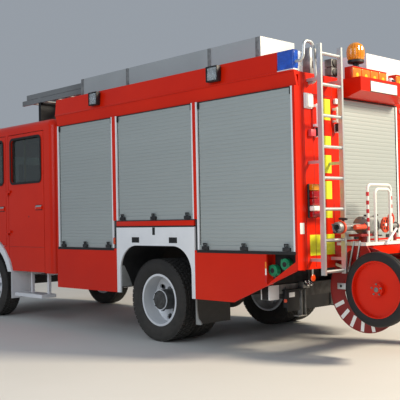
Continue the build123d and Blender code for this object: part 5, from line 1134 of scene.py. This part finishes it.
# %% [markdown]
# The trolley's wheels turn on their stub axles under five bolts and a dust cap, and their solid
# tyres have a rounded tread with two grooves. The ring flanges carry short white reflective
# bars, so that the trolley is seen when it stands in the road.
# %% Trolley wheels
axle_x, axle_height = at(-0.520), 0.690
trolley_y = 0.700
half_tyre = [
    # outboard from the middle, radius, from the bead to the middle of the tread
    (0.0440, 0.2720), (0.0462, 0.2760), (0.0476, 0.2900), (0.0476, 0.3180), (0.0460, 0.3360),
    (0.0400, 0.3480), (0.0300, 0.3545), (0.0210, 0.3560), (0.0195, 0.3510), (0.0150, 0.3510),
    (0.0135, 0.3568), (0.0, 0.3568),
]
lip_line = [
    # outboard from the middle, radius
    (0.0435, 0.2735), (0.0470, 0.2700), (0.0475, 0.2660), (0.0460, 0.2620), (0.0, 0.2580), (-0.004, 0.2580),
    (-0.004, 0.2735), (0.0435, 0.2735),
]
dust_cap_line = [(0.7355, 0.0), (0.7355, 0.024), (0.741, 0.023), (0.745, 0.014), (0.746, 0.0)]
for side_name, side in sides:
    tyre, lip, bolts = meshes(3)
    hub, outward = (axle_x, side * trolley_y, axle_height), (0, side, 0)
    turned(tyre, hub, outward, whole_outline(half_tyre), steps=72)
    shown(f"trolley_tyre_{side_name}", tyre, seal_rubber, "tyre_rubber", f"reel_wheel_{side_name}",
          replaces=(f"reel_tyre_{side_name}",))
    turned(lip, hub, outward, lip_line, steps=72)
    shown(f"trolley_rim_lip_{side_name}", lip, red_lacquer, "red_paint", f"reel_wheel_{side_name}")
    for _, along, up in round_places(5, 0.052, pi / 2):
        hex_nut(bolts, (axle_x + along, side * (trolley_y + 0.0300), axle_height + up), outward, 0.015, 0.009)
    turned(bolts, (axle_x, 0, axle_height), outward, dust_cap_line, steps=24)
    shown(f"trolley_bolts_{side_name}", bolts, zinc_steel, "grey_steel", f"reel_wheel_{side_name}")

# %% Flange bars and rims
drum_x, drum_z = at(-0.300), 0.665
flange_line = [
    # proud of the flange's middle, radius
    (-0.0075, 0.4130), (-0.0075, 0.4192), (-0.0050, 0.4197), (0.0050, 0.4197), (0.0075, 0.4192),
    (0.0075, 0.4130), (0.0045, 0.4120), (-0.0045, 0.4120), (-0.0075, 0.4130),
]
bars, flange_rims = meshes(2)
bar_half = Vector((0.060, 0.0006, 0.019))
for _, side in sides:
    for number in range(5):
        angle = radians(-26 - 19 * number)
        middle = Vector((drum_x + 0.350 * cos(angle), side * 0.5894, drum_z + 0.350 * sin(angle)))
        turn = Matrix.Rotation(-angle, 4, "Y")
        block(bars, middle - bar_half, middle + bar_half, ease=0.0003, turn=turn, steps=1)
    turned(flange_rims, (drum_x, side * 0.585, drum_z), (0, 1, 0), flange_line, steps=72)
shown("flange_reflectors", bars, white_film, "white_paint", "reel_drum")
# The flange rims take the drum's darker red, which is painted shade.
shown("flange_rims", flange_rims, dark_red_with_painted_shade, "dark_red_paint", "reel_drum")

# %% [markdown]
# The valve block is cast light metal with a flange at each end. Its delivery pipe ends in an open
# coupling with two claws, behind an orange ring. Two orange hand wheels with pierced webs work
# the header pipe, and a thick orange grip turns the valve. The coupling's bore and the holes of
# the webs are black discs, painted shade. The handle's left leg is wound with
# red tape. All of it stands over one line across the vehicle, the valve line.
# %% Valve block, pipes and coupling
valve_s, pipe_z = -0.220, 1.282
valve_x = at(valve_s)
cast, dark, orange, levers, stand, tapes, pale = meshes(7)
flange_profile = [
    (-0.008, 0.0), (-0.008, 0.084), (-0.005, 0.087), (0.005, 0.087), (0.008, 0.084), (0.008, 0.0),
]
coupling_profile = [
    # left of the middle, radius: the delivery pipe, its collar and the open coupling
    (0.530, 0.0), (0.530, 0.036), (0.838, 0.036), (0.842, 0.043), (0.870, 0.043), (0.874, 0.050),
    (0.880, 0.054), (0.922, 0.054), (0.930, 0.050), (0.930, 0.043), (0.926, 0.040), (0.926, 0.031),
    (0.890, 0.028), (0.890, 0.0),
]
header_profile = [
    # left of the middle, radius
    (0.330, 0.0), (0.330, 0.028), (-0.090, 0.028), (-0.092, 0.040), (-0.106, 0.040), (-0.108, 0.037),
    (-0.108, 0.0),
]
ring_profile = [
    (0.844, 0.0435), (0.844, 0.060), (0.847, 0.063), (0.866, 0.063), (0.869, 0.060), (0.869, 0.0435),
    (0.844, 0.0435),
]
slabs(cast, [(-0.278, -0.162, 0.322, 0.538, 1.212, 1.386)], 0.040, steps=6)
for y in (0.328, 0.532):
    turned(cast, (valve_x, y, pipe_z + 0.015), (0, 1, 0), flange_profile, steps=36)
    for _, along, up in round_places(8, 0.073, pi / 8):
        for outward in (-1, 1):
            spot = (valve_x + along, y + outward * 0.0075, pipe_z + 0.015 + up)
            hex_nut(cast, spot, (0, outward, 0), 0.011, 0.006)
turned(cast, (valve_x, 0, pipe_z), (0, 1, 0), coupling_profile, steps=40)
for angle, along, up in round_places(2, 0.045, 0.6):
    claw = Vector((valve_x + along, 0.934, pipe_z + up))
    block(cast, claw - Vector((0.012, 0.006, 0.008)), claw + Vector((0.012, 0.010, 0.008)),
          turn=Matrix.Rotation(-angle, 4, "Y"))
turned(cast, (valve_x, 0, pipe_z), (0, 1, 0), header_profile, steps=28)
turned(orange, (valve_x, 0, pipe_z), (0, 1, 0), ring_profile, steps=36)
# A black disc in the coupling is painted shade for its bore.
rods(dark, [(valve_s, 0.8890, pipe_z, valve_s, 0.8915, pipe_z, 0.0278, 32, 0)])

# %% Grip, levers and stand
rods(orange, [(-0.288, 0.552, pipe_z, -0.288, 0.728, pipe_z, 0.025, 28, 0.007)])
rods(levers, [
    (-0.220, 0.820, 1.312, -0.220, 0.820, 1.364, 0.010, 14, 0),
    (-0.272, 0.826, 1.362, -0.168, 0.812, 1.368, 0.012, 16, 0.004),
    (-0.220, 0.905, 1.242, -0.230, 0.985, 1.240, 0.012, 14, 0.004),
    (-0.220, 0.430, 1.380, -0.220, 0.430, 1.402, 0.028, 24, 0.008),
    (-0.240, 0.400, 1.372, -0.270, 0.300, 1.398, 0.009, 12, 0.003),
    (-0.302, 0.445, 1.200, -0.302, 0.290, 1.190, 0.008, 12, 0.003),
    (-0.220, 0.004, 1.300, -0.220, 0.004, 1.372, 0.008, 12, 0),
    (-0.220, -0.008, 1.250, -0.220, -0.008, 1.262, 0.008, 12, 0),
    (-0.224, 0.030, 1.384, -0.224, -0.022, 1.384, 0.019, 20, 0.007),
    (-0.270, 0.024, 1.240, -0.270, -0.036, 1.232, 0.021, 20, 0.008),
    (-0.270, -0.010, 1.238, -0.220, -0.010, 1.262, 0.009, 12, 0),
])
slabs(levers, [(-0.278, -0.245, 0.622, 0.650, 1.274, 1.290, 0.002)])
slabs(stand, [
    (-0.310, -0.158, 0.440, 0.650, 1.188, 1.2135), (-0.250, -0.190, 0.430, 0.530, 1.1295, 1.192, 0.004),
    (-0.232, -0.208, 0.242, 0.282, 1.1295, 1.262), (-0.232, -0.208, -0.090, -0.050, 1.1295, 1.262),
])

# %% Hand wheels
hand_wheels = [
    # station, left of the middle, height, radius
    (-0.2600, 0.158, 1.295, 0.080), (-0.2560, 0.046, 1.356, 0.058),
]
for station, y, z, radius in hand_wheels:
    web = radius - 0.018
    half_rim = [(-0.003, 0.0), (-0.003, web), (-0.007, web + 0.003), (-0.009, radius - 0.004),
                (-0.006, radius)]
    wheel_line = half_rim + [(-along, reach) for along, reach in half_rim[::-1]]
    turned(orange, (at(station), y, z), (1, 0, 0), wheel_line, steps=36)
    for _, along, up in round_places(6, radius * 0.52):
        hole = (y + along, z + up)
        # Black discs in the web are painted shade for its holes.
        rods(dark, [(station - 0.0036, *hole, station + 0.0036, *hole, radius * 0.16, 16, 0)])
    rods(pale, [(station - 0.012, y, z, station + 0.012, y, z, 0.017, 20, 0.003)])
    rods(cast, [(station, y, z, valve_s, y, min(z, pipe_z + 0.02), 0.010, 14, 0)])

# %% Stay, tapes and finished pieces
rods(pale, [(-0.372, 0.300, 1.126, -0.372, 0.128, 1.258, 0.012, 18, 0.003)])
slabs(pale, [(-0.386, -0.3495, 0.282, 0.318, 1.108, 1.128),
             (-0.2812, -0.2800, 0.520, 0.545, 1.270, 1.290, 0.0004)])
slabs(tapes, [(-0.2806, -0.2775, 0.505, 0.560, 1.262, 1.318, 0.0008)])
for turns, y, foot, height in ((5, 0.520, 1.245, 0.040), (3, 0.110, 1.380, 0.036)):
    for number in range(turns):
        z = foot + number * 0.085
        rods(tapes, [(-0.300, y, z, -0.300, y, z + height, 0.0147, 20, 0)])
shown("valve_and_pipes", cast, zinc_steel, "grey_steel", replaces=("reel_equipment",))
shown("valve_bore_and_hole_shade", dark, seal_rubber, "black_plastic")
shown("hand_wheels_and_grip", orange, orange_plastic, "lamp_plastic")
shown("valve_levers", levers, black_plastic, "black_plastic")
shown("valve_stand", stand, dark_red_with_painted_shade, "dark_red_paint")
shown("handle_tapes", tapes, red_film, "dark_red_paint")
shown("wheel_hubs_and_stay", pale, white_lacquer, "white_paint")

# %% [markdown]
# Two bright struts a side carry the trolley's platform. A cream peg locks each side to the
# vehicle, and a grey bracket reaches out below it. Its one hole is a black disc, painted shade.
# %% Platform struts and pegs
struts, pegs = meshes(2)
rods(struts, [
    (-0.213, 0.641, 1.145, -0.146, 0.641, 0.876, 0.0095, 16, 0.002),
    (-0.284, 0.641, 1.146, -0.242, 0.641, 0.940, 0.0095, 16, 0.002),
    (-0.146, 0.6325, 0.866, -0.146, 0.664, 0.866, 0.024, 24, 0.004),
])
rods(pegs, [(0.011, 0.647, 0.914, -0.128, 0.647, 0.871, 0.0145, 20, 0.005)])
slabs(struts, [(-0.262, -0.010, 0.6325, 0.6385, 0.664, 0.690)], 0.002)
slabs(struts, [(-0.104, 0.000, 0.6325, 0.6425, 0.664, 0.726)], 0.012, steps=3)
shown("platform_struts", struts, ladder_aluminium, "ladder_aluminium", pair=True)
shown("lock_pegs", pegs, cream_plastic, "white_paint", pair=True)
bracket_hole_shade = bmesh.new()
# The hole is a black disc, painted shade.
rods(bracket_hole_shade, [(-0.045, 0.6400, 0.696, -0.045, 0.6432, 0.696, 0.014, 20, 0)])
shown("bracket_hole_shade", bracket_hole_shade, seal_rubber, "black_plastic", pair=True)

# %% [markdown]
# The light is a large soft source behind the vehicle and to its right, as high as the late
# morning sun was, with a pale sky all round. It makes the rear face the bright one and leaves
# the long side in even shade, as in the photograph. The floor is a plain pale sheet.
# %% Floor and light
def soft_light(name, place, aim, size, watts, tint):
    """A square area light that looks at a point."""
    data = bpy.data.lights.new(name, "AREA")
    data.size = size
    data.energy = watts
    data.color = paint_card(tint)[:3]
    lamp = bpy.data.objects.new(name, data)
    lamp.location = place
    lamp.rotation_mode = "QUATERNION"
    lamp.rotation_quaternion = (Vector(aim) - Vector(place)).to_track_quat("-Z", "Y")
    bpy.context.scene.collection.objects.link(lamp)
    print(name, watts, "W")


soft_light("key", (-13.0, -5.0, 9.0), (-1.0, 0.0, 1.4), 3.0, 3200, "#FFEFD6")
soft_light("side fill", (-4.0, 14.0, 6.5), (-0.5, 0.0, 1.2), 9.0, 700, "#E6EFFC")
world = bpy.data.worlds.new("pale sky")
world.use_nodes = True
sky = world.node_tree.nodes["Background"].inputs
sky["Color"].default_value = paint_card("#DEE8F4")
sky["Strength"].default_value = 0.42
bpy.context.scene.world = world

floor_mesh = bmesh.new()
bmesh.ops.create_grid(floor_mesh, x_segments=1, y_segments=1, size=60)
floor_data = bpy.data.meshes.new("floor")
floor_mesh.to_mesh(floor_data)
floor_mesh.free()
floor = bpy.data.objects.new("floor", floor_data)
bpy.context.scene.collection.objects.link(floor)
wear(floor, finish("pale studio floor", "#D9D8D3", "#D3D2CC", 2500, (0.7, 0.8), 300, 0.3))
floor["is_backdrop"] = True

# %% [markdown]
# The last cell measures the dressed model.
# %% Print the dressed model's size
low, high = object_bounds()
print("visual box", [round(value, 4) for value in (*low, *high)])
